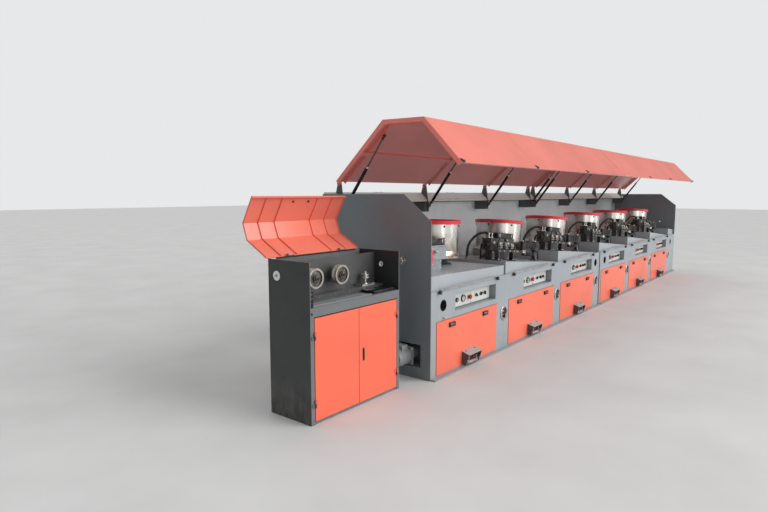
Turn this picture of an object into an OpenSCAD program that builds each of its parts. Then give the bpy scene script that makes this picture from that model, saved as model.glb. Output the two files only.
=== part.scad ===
// Straight-line wire drawing machine with six drawing blocks and an infeed roller stand.
// Sizes in this file are millimetres. X runs along the line from the infeed end to the
// outlet end, Y from the operator's front to the back, and Z up from the floor.
// Inside the modules, places are measured from the front bottom corner of the infeed end
// plate, and the whole line is then shifted so that its middle on the floor is the origin.

/* [Beds] */
// Length of the near bed, at the infeed end
near_bed_l = 4260; // [3800:10:4700]
// Gap between the two beds
bed_gap = 40; // [20:5:80]
// Depth of both beds, front to back
bed_d = 1240; // [1100:10:1400]
// Height of the deck above the floor
deck_z = 752; // [742:2:780]
// Thickness of the front sheets, posts and end plates
plate_t = 8; // [6:1:12]
// Distance from the near bed's end to its first unit
near_unit_lead = 20; // [12:1:40]
// Distance from the far bed's end to its first unit
far_unit_lead = 40; // [20:1:60]
// Length of the near bed behind its last unit
near_bed_tail = 40; // [20:5:80]
// Length of the far bed behind its last unit
far_bed_tail = 410; // [300:10:600]

/* [Front] */
// Width of the post between two red access panels
post_w = 220; // [200:5:300]
// Distance of the access panels' middles before their units' middles
panel_lead = 90; // [60:5:100]
// How much narrower the first access panel is than the others
first_panel_less = 100; // [0:5:200]
// Lowest edge of the access panels
panel_z0 = 22; // [18:1:40]
// Highest edge of the access panels
panel_z1 = 486; // [440:2:500]
// How far the access panels stand out of the front
panel_proud = 4; // [2:1:8]
// Gap round an access panel
panel_gap = 4; // [2:1:6]
// Width of the instrument window
window_w = 760; // [660:10:800]
// Height of the instrument window
window_h = 150; // [130:5:160]
// Depth of the instrument recess behind the front sheet
window_depth = 70; // [50:5:120]
// Height of the window's middle
window_z = 615; // [600:5:625]
// Radius of the lifting holes
lift_r = 50; // [35:1:55]
// Height of the lifting holes
lift_z = 620; // [590:5:640]
// Radius of the round drive ports between the panels
port_r = 62; // [50:1:70]
// Height of the drive ports
port_z = 370; // [330:5:400]

/* [Wedges and blocks] */
// Height of a wedge housing at its high end
wedge_h = 130; // [115:1:150]
// Height of the first wedge housing at its low end
first_low_h = 96; // [2:1:110]
// Height of the other wedge housings at their low end
other_low_h = 2; // [1:1:40]
// Gap between a wedge housing and the next one
wedge_gap = 40; // [20:5:60]
// Distance of the wedge housings behind the front sheets
wedge_in = 26; // [10:2:60]
// Radius of a drawing block's barrel
barrel_r = 262; // [240:1:275]
// Radius of the red rim on a drawing block
rim_r = 283; // [276:1:290]
// Height of the red rim
rim_h = 38; // [30:1:60]
// Height of a drawing block, without its shaft
block_h = 370; // [350:5:430]
// Height of the pedestal under a drawing block
pedestal_h = 77; // [70:1:110]
// Running gap between a pedestal and its block
block_gap = 8; // [5:1:12]
// Distance of the block axes from the front
block_y = 550; // [540:5:600]

/* [Back and canopies] */
// Height of the end plates
plate_z = 1570; // [1540:5:1600]
// Height of the end plates' front edge, under the chamfer
plate_front_z = 1343; // [1320:5:1370]
// Depth of the chamfer of the end plates
plate_chamfer = 284; // [260:2:300]
// Distance of the rear duct's underside below the end plates' top
duct_drop = 83; // [70:1:100]
// Height of the rear duct
duct_h = 100; // [80:1:110]
// Depth of the rear duct
duct_d = 200; // [180:5:220]
// Sheet thickness of the canopies
canopy_t = 4; // [3:0.5:6]
// How far a canopy reaches past the end plates
canopy_over = 16; // [14:1:24]
// Gap between the two canopies
canopy_seam = 12; // [8:1:20]
// Angle between a canopy's shut and open places, in degrees
canopy_lift = 43.2; // [42:0.1:44]
// Length of a canopy strut's cylinder
strut_body_l = 450; // [420:5:480]
// Radius of a strut's cylinder
strut_body_r = 15; // [12:1:18]
// Radius of a strut's rod
strut_rod_r = 8; // [6:1:10]

/* [Infeed stand] */
// Gap between the infeed stand and the near bed
stand_gap = 295; // [280:5:400]
// Width of the infeed stand along the line
stand_w = 980; // [900:10:1100]
// Depth of the infeed stand
stand_d = 415; // [400:5:460]
// Distance of the stand's front behind the machine's front
stand_y = 105; // [60:5:160]
// Height of the stand's end walls
stand_h = 1120; // [1000:5:1240]
// Height of the open roller bay over the doors
bay_h = 308; // [260:4:340]
// Radius of the infeed pulleys
pulley_r = 73; // [60:1:80]
// Wall thickness of the infeed stand
stand_t = 6; // [5:1:8]

/* [Hidden] */

units_per_bed = 3;
unit_pitch = (near_bed_l - near_unit_lead - near_bed_tail) / units_per_bed;
far_bed_l = far_unit_lead + units_per_bed * unit_pitch + far_bed_tail;
far_x0 = near_bed_l + bed_gap;
line_l = far_x0 + far_bed_l;
seam_x = near_bed_l + bed_gap / 2;
touch = 0.3;
run_gap = 0.05;
round_fn = 64;

function bed_x0(k) = k < units_per_bed ? 0 : far_x0;
function bed_l(far) = far ? far_bed_l : near_bed_l;
function unit_x(k) = k < units_per_bed
    ? near_unit_lead + k * unit_pitch
    : far_x0 + far_unit_lead + (k - units_per_bed) * unit_pitch;
all_units = [0 : 2 * units_per_bed - 1];
function bed_units(far) = far ? [units_per_bed : 2 * units_per_bed - 1] : [0 : units_per_bed - 1];

// the whole line, moved so that its middle on the floor is the origin
module in_line() {
    translate([-line_l / 2, -bed_d / 2, 0]) children();
}

// a profile drawn in Y and Z, extruded along X from x0 to x1
module along_x(x0, x1) {
    translate([x0, 0, 0]) rotate([90, 0, 90]) linear_extrude(x1 - x0) children();
}

// a profile drawn in X and Z, extruded along Y from y0 to y1
module along_y(y0, y1) {
    translate([0, y1, 0]) rotate([90, 0, 0]) linear_extrude(y1 - y0) children();
}

// a box between two corners
module box(low, high) {
    translate(low) cube(high - low);
}

// the line beside a polyline of sheet metal, d to its left, with mitred corners
function side_of(v) = [-v[1], v[0]] / norm(v);
function beside(p, d) = [for (i = [0 : len(p) - 1])
    let (last = len(p) - 1,
        a = side_of(p[max(i, 1)] - p[max(i, 1) - 1]),
        b = side_of(p[min(i + 1, last)] - p[min(i, last - 1)]),
        m = a + b)
    p[i] + m * (2 * d / (m * m))];
function reversed(p) = [for (i = [len(p) - 1 : -1 : 0]) p[i]];
function strip(p, d0, d1) = concat(beside(p, d0), reversed(beside(p, d1)));
function sheet(p, t) = concat(p, reversed(beside(p, t)));
// the same line, cut back a little at both ends
function trimmed(p, cut) = let (last = len(p) - 1)
    [for (i = [0 : last])
        i == 0 ? p[0] + (p[1] - p[0]) / norm(p[1] - p[0]) * cut
        : i == last ? p[i] - (p[i] - p[i - 1]) / norm(p[i] - p[i - 1]) * cut
        : p[i]];

// Beds

bed_front = plate_t;
bed_back = bed_d - plate_t;
back_wall_t = 30;
window_in = 370;
window_z0 = window_z - window_h / 2;
window_z1 = window_z + window_h / 2;
lift_depth = 60;
// round spacers that tie the far bed to the near one
tie_in = 130;
tie_r = 36;
port_in = unit_pitch - panel_lead;
port_depth = 64;

// lifting holes, midway between a bed's ends and the nearest instrument windows
function lift_x(far) = let (
    first = far ? units_per_bed : 0,
    last = first + units_per_bed - 1)
    [(bed_x0(first) + unit_x(first) + window_in) / 2,
        (bed_x0(first) + bed_l(far) + unit_x(last) + window_in + window_w) / 2];

module bed(far) {
    x0 = far ? far_x0 : plate_t;
    x1 = far ? line_l - plate_t : near_bed_l;
    difference() {
        box([x0, bed_front, 0], [x1, bed_back, deck_z]);
        for (k = bed_units(far)) {
            box([unit_x(k) + window_in, bed_front - 1, window_z0],
                [unit_x(k) + window_in + window_w, bed_front + window_depth, window_z1]);
            translate([unit_x(k) + port_in, bed_front - 1, port_z]) rotate([-90, 0, 0])
                cylinder(h = port_depth + 1, r = port_r, $fn = round_fn);
        }
        for (x = lift_x(far))
            translate([x, bed_front - 1, lift_z]) rotate([-90, 0, 0])
                cylinder(h = lift_depth + 1, r = lift_r, $fn = round_fn);
        if (!far) box([plate_t - 1, motor_y0, motor_z0], [motor_pocket, motor_y1, motor_z1]);
    }
    if (far) for (y = [tie_in, bed_d - tie_in]) for (z = [tie_in, deck_z - tie_in])
        translate([near_bed_l + touch, y, z]) rotate([0, 90, 0])
            cylinder(h = bed_gap - touch, r = tie_r, $fn = 32);
}

module bed_near() {
    color("dimgray") in_line() bed(false);
}

module bed_far() {
    color("dimgray") in_line() bed(true);
}

// Front sheets, posts and red panels

band_z0 = panel_z1 + panel_gap;
ledge_t = 3;
wedge_front = plate_t + wedge_in;

// the sheet over the panels, folded back along the top into a ledge before the wedges
module front_band(far) {
    x0 = far ? far_x0 : plate_t;
    x1 = far ? line_l - plate_t : near_bed_l;
    difference() {
        along_x(x0, x1) polygon([[0, band_z0], [plate_t, band_z0], [plate_t, deck_z],
            [wedge_front, deck_z], [wedge_front, deck_z + ledge_t], [0, deck_z + ledge_t]]);
        for (k = bed_units(far))
            box([unit_x(k) + window_in, -1, window_z0],
                [unit_x(k) + window_in + window_w, plate_t + 1, window_z1]);
        for (x = lift_x(far))
            translate([x, -1, lift_z]) rotate([-90, 0, 0])
                cylinder(h = plate_t + 2, r = lift_r, $fn = round_fn);
    }
}

module front_band_near() {
    color("lightslategray") in_line() front_band(false);
}

module front_band_far() {
    color("lightslategray") in_line() front_band(true);
}

function panel_w(k) = unit_pitch - post_w - (k == 0 ? first_panel_less : 0);
function panel_mid(k) = unit_x(k) + unit_pitch / 2 - panel_lead;
function panel_x0(k) = panel_mid(k) - panel_w(k) / 2;
function panel_x1(k) = panel_mid(k) + panel_w(k) / 2;

function post_spans(far) = let (
    first = far ? units_per_bed : 0,
    last = first + units_per_bed - 1,
    x0 = far ? far_x0 : plate_t,
    x1 = far ? line_l - plate_t : near_bed_l)
    concat([[x0, panel_x0(first) - panel_gap]],
        [for (k = [first : last])
            [panel_x1(k) + panel_gap, k == last ? x1 : panel_x0(k + 1) - panel_gap]]);

module front_posts() {
    color("lightslategray") in_line() difference() {
        for (far = [false, true]) for (s = post_spans(far))
            box([s[0], 0, sill_h], [s[1], plate_t, band_z0]);
        for (k = all_units)
            translate([unit_x(k) + port_in, -1, port_z]) rotate([-90, 0, 0])
                cylinder(h = plate_t + 2, r = port_r, $fn = round_fn);
    }
}

// a red lift-off tray: a flat face with its edges folded back on to the bed
module tray_panel(k, y_face, y_seat) {
    y_low = min(y_face, y_seat);
    y_high = max(y_face, y_seat);
    box([panel_x0(k), y_low, panel_z0], [panel_x1(k), y_high, panel_z1]);
}

module access_panels() {
    color("tomato") in_line() for (k = all_units)
        tray_panel(k, -panel_proud, plate_t);
}

module rear_panels() {
    color("tomato") in_line() for (k = all_units)
        tray_panel(k, bed_d, bed_back);
}

latch_in = 240;
latch_w = 92;
latch_h = 40;
latch_t = 9;
latch_drop = 52;

module panel_latches() {
    color("black") in_line() for (k = all_units)
        for (x = [panel_x0(k) + latch_in, panel_x1(k) - latch_in])
        translate([x, -panel_proud, panel_z1 - latch_drop]) {
            box([-latch_w / 2, -latch_t, -latch_h / 2], [latch_w / 2, 0, latch_h / 2]);
            box([-latch_w / 5, -2 * latch_t, -latch_h / 4], [latch_w / 5, -latch_t, latch_h / 4]);
        }
}

// Instruments

dial_plate_t = 14;
dial_margin = 10;
dial_gap = 6;
dial_plate_w = (window_w - 2 * dial_margin - dial_gap) / 2;
dial_y = bed_front + window_depth - dial_plate_t;

module instrument_panels() {
    color("gainsboro") in_line() for (k = all_units) for (i = [0, 1]) {
        x = unit_x(k) + window_in + dial_margin + i * (dial_plate_w + dial_gap);
        box([x, dial_y, window_z0 + dial_margin],
            [x + dial_plate_w, dial_y + dial_plate_t, window_z1 - dial_margin]);
    }
}

meter_r = 33;
button_r = 13;
stop_r = 20;
meter_in = [115, 225];
button_in = [462, 552, 626];
stop_in = 332;

module instruments() {
    color("black") in_line() for (k = all_units)
        translate([unit_x(k) + window_in + dial_margin, dial_y, window_z]) rotate([90, 0, 0]) {
            for (x = meter_in) translate([x, 0, 0]) cylinder(h = 12, r = meter_r, $fn = 48);
            for (x = button_in) translate([x, 0, 0]) {
                cylinder(h = 6, r = button_r + 4, $fn = 32);
                cylinder(h = 20, r = button_r, $fn = 32);
            }
            translate([stop_in, 0, 0]) {
                cylinder(h = 14, r = stop_r - 8, $fn = 32);
                translate([0, 0, 14]) cylinder(h = 16, r = stop_r, $fn = 32);
            }
        }
}

// Round drive ports between the panels: a cup with a shaft end inside

port_flange = 14;
port_flange_t = 10;
port_wall = 7;

module port_cups() {
    color("silver") in_line() for (k = all_units)
        translate([unit_x(k) + port_in, 0, port_z]) rotate([90, 0, 0])
            rotate_extrude($fn = round_fn) polygon([
                [0, -bed_front - port_depth], [port_r - touch, -bed_front - port_depth],
                [port_r - touch, 0], [port_r + port_flange, 0],
                [port_r + port_flange, port_flange_t - 3],
                [port_r + port_flange - 3, port_flange_t],
                [port_r - port_wall, port_flange_t],
                [port_r - port_wall, port_wall - bed_front - port_depth],
                [port_r / 2, port_wall - bed_front - port_depth],
                [port_r / 2, -12], [port_r / 2 - 4, -8], [port_r / 4, -8], [port_r / 4, 4], [0, 4]]);
}

// Rest rail and knobs along the front edge of the deck

knob_in = [100, 1136];
knob_r = 17;
knob_l = 30;
rail_h = 12;
rail_drop = 8;
rail_out = 8;
rail_lap = 22;
rail_seat = deck_z + ledge_t;
rail_back_h = 5;

module rest_rails() {
    color("lightgray") in_line() for (k = all_units)
        along_x(unit_x(k) + knob_in[0] + rail_lap, unit_x(k) + knob_in[1] - rail_lap)
            polygon([[-rail_out, deck_z - rail_drop], [0, deck_z - rail_drop], [0, rail_seat],
                [plate_t, rail_seat], [plate_t, rail_seat + rail_back_h], [0, rail_seat + rail_h],
                [-rail_out, rail_seat + rail_h]]);
}

module rest_knobs() {
    color("black") in_line() for (k = all_units) for (x = knob_in)
        translate([unit_x(k) + x, 0, deck_z - knob_r / 2]) rotate([90, 0, 0])
            rotate_extrude($fn = 32) polygon([[0, 0], [knob_r * 0.6, 0], [knob_r * 0.6, knob_l / 3],
                [knob_r, knob_l / 3], [knob_r, knob_l - 4], [knob_r - 4, knob_l], [0, knob_l]]);
}

// Foot rails with anchor holes

sill_h = 18;
foot_out = 50;
foot_t = 12;
anchor_r = 9;
anchor_y = foot_out / 2 + 3;
anchor_in = 150;

function anchor_x(far) = [bed_x0(far ? units_per_bed : 0) + anchor_in,
    bed_x0(far ? units_per_bed : 0) + bed_l(far) - anchor_in];

// a foot angle along the front: a sill under the panels and a flat leg on the floor
module foot_rail(far) {
    x0 = far ? far_x0 : plate_t;
    x1 = far ? line_l - plate_t : near_bed_l;
    difference() {
        along_x(x0, x1) polygon([[-foot_out, 0], [plate_t, 0], [plate_t, sill_h], [0, sill_h],
            [0, foot_t], [-foot_out, foot_t]]);
        for (x = anchor_x(far)) translate([x, -anchor_y, -1])
            cylinder(h = foot_t + 2, r = anchor_r, $fn = 32);
    }
}

module foot_rails() {
    color("darkgray") in_line() for (far = [false, true]) {
        foot_rail(far);
        translate([0, bed_d, 0]) mirror([0, 1, 0]) foot_rail(far);
    }
}

// Foot pedals under hoods

pedal_in = 490;
pedal_w = 240;
pedal_out = 80;
pedal_z0 = sill_h + 6;
pedal_z1 = 150;
hood_t = 4;
hood_fall = 26;

module pedal_guards() {
    color("dimgray") in_line() for (k = all_units) {
        x = unit_x(k) + pedal_in;
        for (side = [0, pedal_w - hood_t])
            along_x(x + side, x + side + hood_t)
                polygon([[-panel_proud, pedal_z0], [-panel_proud, pedal_z1],
                    [-pedal_out, pedal_z1 - hood_fall], [-pedal_out + 30, pedal_z0]]);
        along_x(x, x + pedal_w)
            polygon([[-panel_proud, pedal_z1 - hood_t], [-panel_proud, pedal_z1],
                [-pedal_out, pedal_z1 - hood_fall], [-pedal_out, pedal_z1 - hood_fall - hood_t]]);
    }
}

module pedals() {
    color("silver") in_line() for (k = all_units) {
        x = unit_x(k) + pedal_in + 40;
        along_x(x, x + pedal_w - 80)
            polygon([[-panel_proud, pedal_z0 + 16], [-panel_proud, pedal_z0 + 30],
                [-pedal_out + 26, pedal_z0 + 22], [-pedal_out + 26, pedal_z0 + 10]]);
    }
}

// Wedge housings: the deck of each unit falls towards the outlet

wedge_l = unit_pitch - wedge_gap;
wedge_back = bed_back - back_wall_t;
function wedge_fall(k) = wedge_h - (k == 0 ? first_low_h : other_low_h);
function tilt(k) = atan(wedge_fall(k) / wedge_l);
function slope_z(k, along) = deck_z + wedge_h - wedge_fall(k) * along / wedge_l;

module wedge(k, x, length) {
    along_y(wedge_front, wedge_back)
        polygon([[x, deck_z], [x + length, deck_z], [x + length, slope_z(k, length)],
            [x, deck_z + wedge_h]]);
}

module wedge_housings() {
    last = 2 * units_per_bed - 1;
    exit_x = unit_x(last) + unit_pitch;
    color("gray") in_line() {
        for (k = all_units) wedge(k, unit_x(k), wedge_l);
        wedge(last, exit_x, line_l - plate_t - exit_x);
    }
}

// End plates

motor_y = 250;
motor_z = 190;
motor_y0 = 100;
motor_y1 = 400;
motor_z0 = 98;
motor_z1 = 296;
motor_pocket = 190;
wire_y = 288;
wire_drop = 114;
wire_z = stand_h - wire_drop;
wire_hole_r = 12;
plate_hole_gap = 3;
stand_hole_r = 22;

module end_outline() {
    polygon([[0, 0], [bed_d, 0], [bed_d, plate_z], [plate_chamfer, plate_z], [0, plate_front_z]]);
}

module wire_hole(x0, x1, r) {
    translate([x0, wire_y, wire_z]) rotate([0, 90, 0]) cylinder(h = x1 - x0, r = r, $fn = 48);
}

module end_plate_infeed() {
    color("dimgray") in_line() difference() {
        along_x(0, plate_t) end_outline();
        box([-1, motor_y0, motor_z0], [plate_t + 1, motor_y1, motor_z1]);
        wire_hole(-1, plate_t + 1, wire_hole_r + plate_hole_gap);
    }
}

module end_plate_outlet() {
    color("dimgray") in_line() difference() {
        along_x(line_l - plate_t, line_l) end_outline();
        wire_hole(line_l - plate_t - 1, line_l + 1, wire_hole_r + plate_hole_gap);
    }
}

guide_flange_r = 34;
guide_tube_r = 22;
guide_l = 34;

module wire_guide() {
    rotate([0, -90, 0]) rotate_extrude($fn = 48)
        polygon([[wire_hole_r, 0], [guide_flange_r, 0], [guide_flange_r, 8], [guide_tube_r, 8],
            [guide_tube_r, guide_l - 4], [guide_tube_r - 4, guide_l], [wire_hole_r, guide_l]]);
}

module wire_guides() {
    color("silver") in_line() {
        translate([0, wire_y, wire_z]) wire_guide();
        translate([line_l, wire_y, wire_z]) rotate([0, 0, 180]) wire_guide();
    }
}

// Back wall, rear duct and strut brackets

wall_y0 = bed_back - back_wall_t;
duct_z = plate_z - duct_drop;
duct_y0 = bed_d - duct_d;
duct_chamfer = duct_h - 22;

module back_walls() {
    color("silver") in_line() {
        box([plate_t, wall_y0, deck_z], [near_bed_l, bed_back, duct_z]);
        box([far_x0, wall_y0, deck_z], [line_l - plate_t, bed_back, duct_z]);
    }
}

module duct_outline() {
    polygon([[duct_y0, duct_z], [bed_back, duct_z], [bed_back, duct_z + duct_h],
        [duct_y0 + duct_chamfer, duct_z + duct_h], [duct_y0, duct_z + duct_h - duct_chamfer]]);
}

module rear_ducts() {
    color("wheat") in_line() {
        along_x(plate_t, near_bed_l) duct_outline();
        along_x(far_x0, line_l - plate_t) duct_outline();
    }
}

// Canopy hinge and strut places in Y and Z. The shut canopy follows the end plates'
// chamfer and front edge, and is drawn turned back by its lift.

hinge_in = 165;
hinge_rise = 80;
hinge = [bed_d - hinge_in, duct_z + duct_h + hinge_rise];
ridge_drop = 5;
canopy_out = 7;
shut_ridge = [plate_chamfer + canopy_out, hinge[1] - ridge_drop];
shut_front = [-15, plate_front_z + 21];
shut_lip = [-22, deck_z + 91];
shut_strut = shut_ridge + [121, -59];
function opened(p) = let (d = p - hinge, c = cos(canopy_lift), s = sin(canopy_lift))
    hinge + [d[0] * c + d[1] * s, d[1] * c - d[0] * s];

strut_low = [duct_y0 - 28, duct_z - 41];
strut_high = opened(shut_strut);
strut_in = 40;
near_end_in = 60;
far_end_in = 150;
near_strut_x = concat([for (k = bed_units(false)) unit_x(k) + strut_in],
    [near_bed_l - near_end_in]);
far_strut_x = concat([for (k = bed_units(true)) unit_x(k) + strut_in], [line_l - far_end_in]);
bracket_w = 80;
bracket_h = 115;
ear_t = 10;
ear_r = 22;
eye_t = 8;
pin_r = 9;

module strut_bracket(x) {
    box([x - bracket_w / 2, duct_y0, duct_z - bracket_h], [x + bracket_w / 2, wall_y0, duct_z]);
    along_x(x - ear_t / 2, x + ear_t / 2) {
        polygon([[duct_y0, duct_z - bracket_h], [duct_y0, duct_z],
            [duct_y0, duct_z + duct_h - duct_chamfer],
            [duct_y0 + duct_chamfer, duct_z + duct_h],
            hinge + [ear_r, 0], hinge - [ear_r, 0],
            [duct_y0 - 12, duct_z], strut_low + [0, ear_r], strut_low - [0, ear_r]]);
        translate(hinge) circle(r = ear_r, $fn = 32);
        translate(strut_low) circle(r = ear_r, $fn = 32);
    }
    along_x(x - ear_t / 2 - hinge_pin_l, x - ear_t / 2) translate(hinge) circle(r = pin_r, $fn = 32);
    along_x(x + ear_t / 2, x + ear_t / 2 + strut_pin_l) translate(strut_low)
        circle(r = pin_r, $fn = 32);
}

hinge_pin_l = 16;
strut_pin_l = 16;

module strut_brackets() {
    color("dimgray") in_line() for (x = concat(near_strut_x, far_strut_x)) strut_bracket(x);
}

// Canopies: a folded sheet of three facets, open at rest

canopy_ridge = opened(shut_ridge);
canopy_line = [hinge + (canopy_ridge - hinge) / norm(canopy_ridge - hinge) * (ear_r + 8),
    canopy_ridge, opened(shut_front), opened(shut_lip)];
hem = 12;
rib_h = 34;
rib_t = 5;
stringer_w = 42;
stringer_h = 28;
flange_h = 38;
lug_t = 8;
lug_r = 16;
lug_side = ear_t / 2 + 1 + eye_t + 8;

module canopy_sheet(x0, x1) {
    front = canopy_line[3];
    inward = side_of(canopy_line[3] - canopy_line[2]);
    lip = concat(canopy_line, [front + inward * hem]);
    along_x(x0, x1) polygon(sheet(lip, canopy_t));
}

// a strip standing inward from the canopy, height h, along its first facets
module canopy_rib(x0, x1, h, facets) {
    line = trimmed([for (i = [0 : facets]) canopy_line[i]], canopy_t);
    along_x(x0, x1) polygon(strip(line, canopy_t / 2, h));
}

module canopy(x0, x1, spots) {
    back_run = canopy_line[1] - canopy_line[0];
    back_in = side_of(back_run);
    mid = canopy_line[0] + back_run * 0.47 + back_in * canopy_t / 2;
    mid_far = mid + back_run / norm(back_run) * stringer_w;
    canopy_sheet(x0, x1);
    for (x = [x0, x1 - rib_t]) canopy_rib(x, x + rib_t, flange_h, 3);
    along_x(x0 + rib_t / 2, x1 - rib_t / 2)
        polygon([mid, mid_far, mid_far + back_in * stringer_h, mid + back_in * stringer_h]);
    for (x = spots) {
        rib_x = x + lug_side;
        if (rib_x > x0 + 60 && rib_x < x1 - 60) canopy_rib(rib_x, rib_x + rib_t, rib_h, 2);
        hinge_lug(x);
        strut_lug(x);
    }
}

// a hinge lug on the canopy, beside its bracket, with a bore for the pin
module hinge_lug(x) {
    side = x - ear_t / 2 - 1;
    run = (canopy_ridge - hinge) / norm(canopy_ridge - hinge);
    across = side_of(run);
    r = ear_r - 2;
    along_x(side - lug_t, side) difference() {
        union() {
            translate(hinge) circle(r = r, $fn = 32);
            polygon([hinge - across * (r - 1), hinge + across * (r - 1),
                hinge + run * 90 + across * (canopy_t + 4), hinge + run * 90 + across * canopy_t / 2,
                hinge + run * (ear_r + 12) + across * canopy_t / 2]);
        }
        translate(hinge) circle(r = pin_r + run_gap, $fn = 32);
    }
}

// a lug for the top of a strut, beside the rod's eye
module strut_lug(x) {
    run = (canopy_ridge - hinge) / norm(canopy_ridge - hinge);
    across = side_of(run);
    reach = (strut_high - hinge) * run;
    depth = (strut_high - hinge) * across;
    along_x(x + lug_side, x + lug_side + lug_t) {
        translate(strut_high) circle(r = lug_r, $fn = 32);
        polygon([hinge + run * (reach - 60) + across * canopy_t / 2,
            hinge + run * (reach - lug_r) + across * depth,
            hinge + run * (reach + lug_r) + across * depth,
            hinge + run * (reach + 30) + across * canopy_t / 2]);
    }
}

module canopy_near() {
    color("tomato") in_line() canopy(-canopy_over, seam_x - canopy_seam / 2, near_strut_x);
}

module canopy_far() {
    color("tomato") in_line() canopy(seam_x + canopy_seam / 2, line_l + canopy_over, far_strut_x);
}

// Struts: cylinder below, rod above, both along the line between the pivots

strut_run = strut_high - strut_low;
strut_l = norm(strut_run);
strut_dir = strut_run / strut_l;
rod_in_body = 60;
eye_r = 15;

// strut pieces are drawn along +Z from the lower pivot and then turned
module on_strut(x) {
    translate([x + ear_t / 2 + 1 + eye_t / 2, strut_low[0], strut_low[1]])
        rotate([acos(strut_dir[1]), 0, 0]) children();
}

module strut_cylinder(x) {
    on_strut(x) difference() {
        union() {
            translate([-eye_t / 2, 0, 0]) rotate([0, 90, 0]) cylinder(h = eye_t, r = eye_r, $fn = 32);
            translate([-eye_t / 2, -eye_r / 2, 0]) cube([eye_t, eye_r, eye_r + 18]);
            translate([0, 0, eye_r + 14])
                cylinder(h = strut_body_l - eye_r - 14, r = strut_body_r, $fn = 32);
        }
        translate([-eye_t, 0, 0]) rotate([0, 90, 0]) cylinder(h = 2 * eye_t, r = pin_r + run_gap, $fn = 32);
        translate([0, 0, eye_r + 30]) cylinder(h = strut_body_l, r = strut_rod_r + run_gap, $fn = 32);
    }
}

module strut_rod(x) {
    on_strut(x) {
        translate([0, 0, strut_body_l - rod_in_body])
            cylinder(h = strut_l - strut_body_l + rod_in_body - eye_r + 4, r = strut_rod_r, $fn = 32);
        translate([-eye_t / 2, 0, strut_l]) rotate([0, 90, 0]) cylinder(h = eye_t, r = eye_r, $fn = 32);
    }
}

module strut_cylinders_near() {
    color("black") in_line() for (x = near_strut_x) strut_cylinder(x);
}

module strut_rods_near() {
    color("silver") in_line() for (x = near_strut_x) strut_rod(x);
}

module strut_cylinders_far() {
    color("black") in_line() for (x = far_strut_x) strut_cylinder(x);
}

module strut_rods_far() {
    color("silver") in_line() for (x = far_strut_x) strut_rod(x);
}

// Motor in the infeed end plate and the red grab handle beside it

motor_r = 76;
motor_l = 150;

module end_motor() {
    color("slategray") in_line() translate([0, motor_y, motor_z]) {
        translate([-motor_l, 0, 0]) rotate([0, 90, 0])
            cylinder(h = motor_l - 12, r = motor_r - 8, $fn = round_fn);
        translate([-motor_l - 24, 0, 0]) rotate([0, 90, 0])
            cylinder(h = 24, r = motor_r - 22, $fn = round_fn);
        box([-12, -motor_r, -motor_r], [2, motor_r, motor_r]);
        translate([2, 0, 0]) rotate([0, 90, 0])
            cylinder(h = motor_pocket - 2, r = motor_r - 20, $fn = round_fn);
        translate([2, motor_r + 26, -6]) rotate([0, 90, 0]) cylinder(h = motor_pocket - 2, r = 20, $fn = 32);
    }
}

handle_z0 = 978;
handle_z1 = 1128;
handle_r = 11;
handle_x = 30;
handle_y = 18;

module grab_handle() {
    color("red") in_line() {
        translate([handle_x, handle_y, handle_z0])
            cylinder(h = handle_z1 - handle_z0, r = handle_r, $fn = 32);
        for (z = [handle_z0, handle_z1 - 18])
            box([plate_t, handle_y - handle_r, z], [handle_x, handle_y + handle_r, z + 18]);
    }
}

// Drawing blocks on their pedestals. Each is drawn upright on the slope of its wedge.

near_foot_in = 803;
far_foot_in = 683;
function foot_in(k) = k < units_per_bed ? near_foot_in : far_foot_in;
// the pieces on a slope stand a hair above it, so that they touch it without cutting in
seat_gap = 0.2;

module on_slope(k) {
    translate([unit_x(k) + foot_in(k), block_y, slope_z(k, foot_in(k)) + seat_gap])
        rotate([0, tilt(k), 0]) children();
}

shaft_r = 48;
shaft_l = 60;
pedestal_r = 205;

module block_pedestals() {
    color("dimgray") in_line() for (k = all_units) on_slope(k)
        rotate_extrude($fn = round_fn) polygon([
            [shaft_r + run_gap, 0], [pedestal_r, 0], [pedestal_r, 22], [pedestal_r - 40, 36],
            [pedestal_r - 60, pedestal_h - 12], [pedestal_r - 66, pedestal_h],
            [shaft_r + run_gap, pedestal_h]]);
}

flange_r = rim_r + 2;
flange_t = 30;
cup_wall = 22;
cup_depth = 290;
hub_r = 72;
hub_h = 60;

module block(k) {
    base = pedestal_h + block_gap;
    top = base + block_h;
    cup_floor = top - cup_depth;
    color("lightgray") in_line() on_slope(k) rotate_extrude($fn = 96) polygon([
        [0, base - shaft_l - block_gap], [shaft_r, base - shaft_l - block_gap], [shaft_r, base],
        [flange_r - 6, base], [flange_r, base + 6], [flange_r, base + flange_t - 6],
        [flange_r - 6, base + flange_t], [barrel_r + 6, base + flange_t + 16],
        [barrel_r, base + flange_t + 46], [barrel_r, top - rim_h],
        [rim_r, top - rim_h], [rim_r, top - 6], [rim_r - 6, top],
        [barrel_r - cup_wall + 6, top], [barrel_r - cup_wall, top - 6],
        [barrel_r - cup_wall, cup_floor], [hub_r + 10, cup_floor],
        [hub_r, cup_floor + 10], [hub_r, cup_floor + hub_h - 6],
        [hub_r - 6, cup_floor + hub_h], [0, cup_floor + hub_h]]);
}

module block_1() { block(0); }
module block_2() { block(1); }
module block_3() { block(2); }
module block_4() { block(3); }
module block_5() { block(4); }
module block_6() { block(5); }

// Die boxes, guide arms and guide rollers, on the slope before each block

wire_level = 160;
wire_bore_r = 9;
die_in = 34;
die_x1 = -226;
die_y = -barrel_r;
die_half = 50;
die_z0 = 104;
die_z1 = 222;
die_lid_t = 12;
die_lid_lap = 6;
die_stem_in = 60;
die_stem_half = 40;

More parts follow.
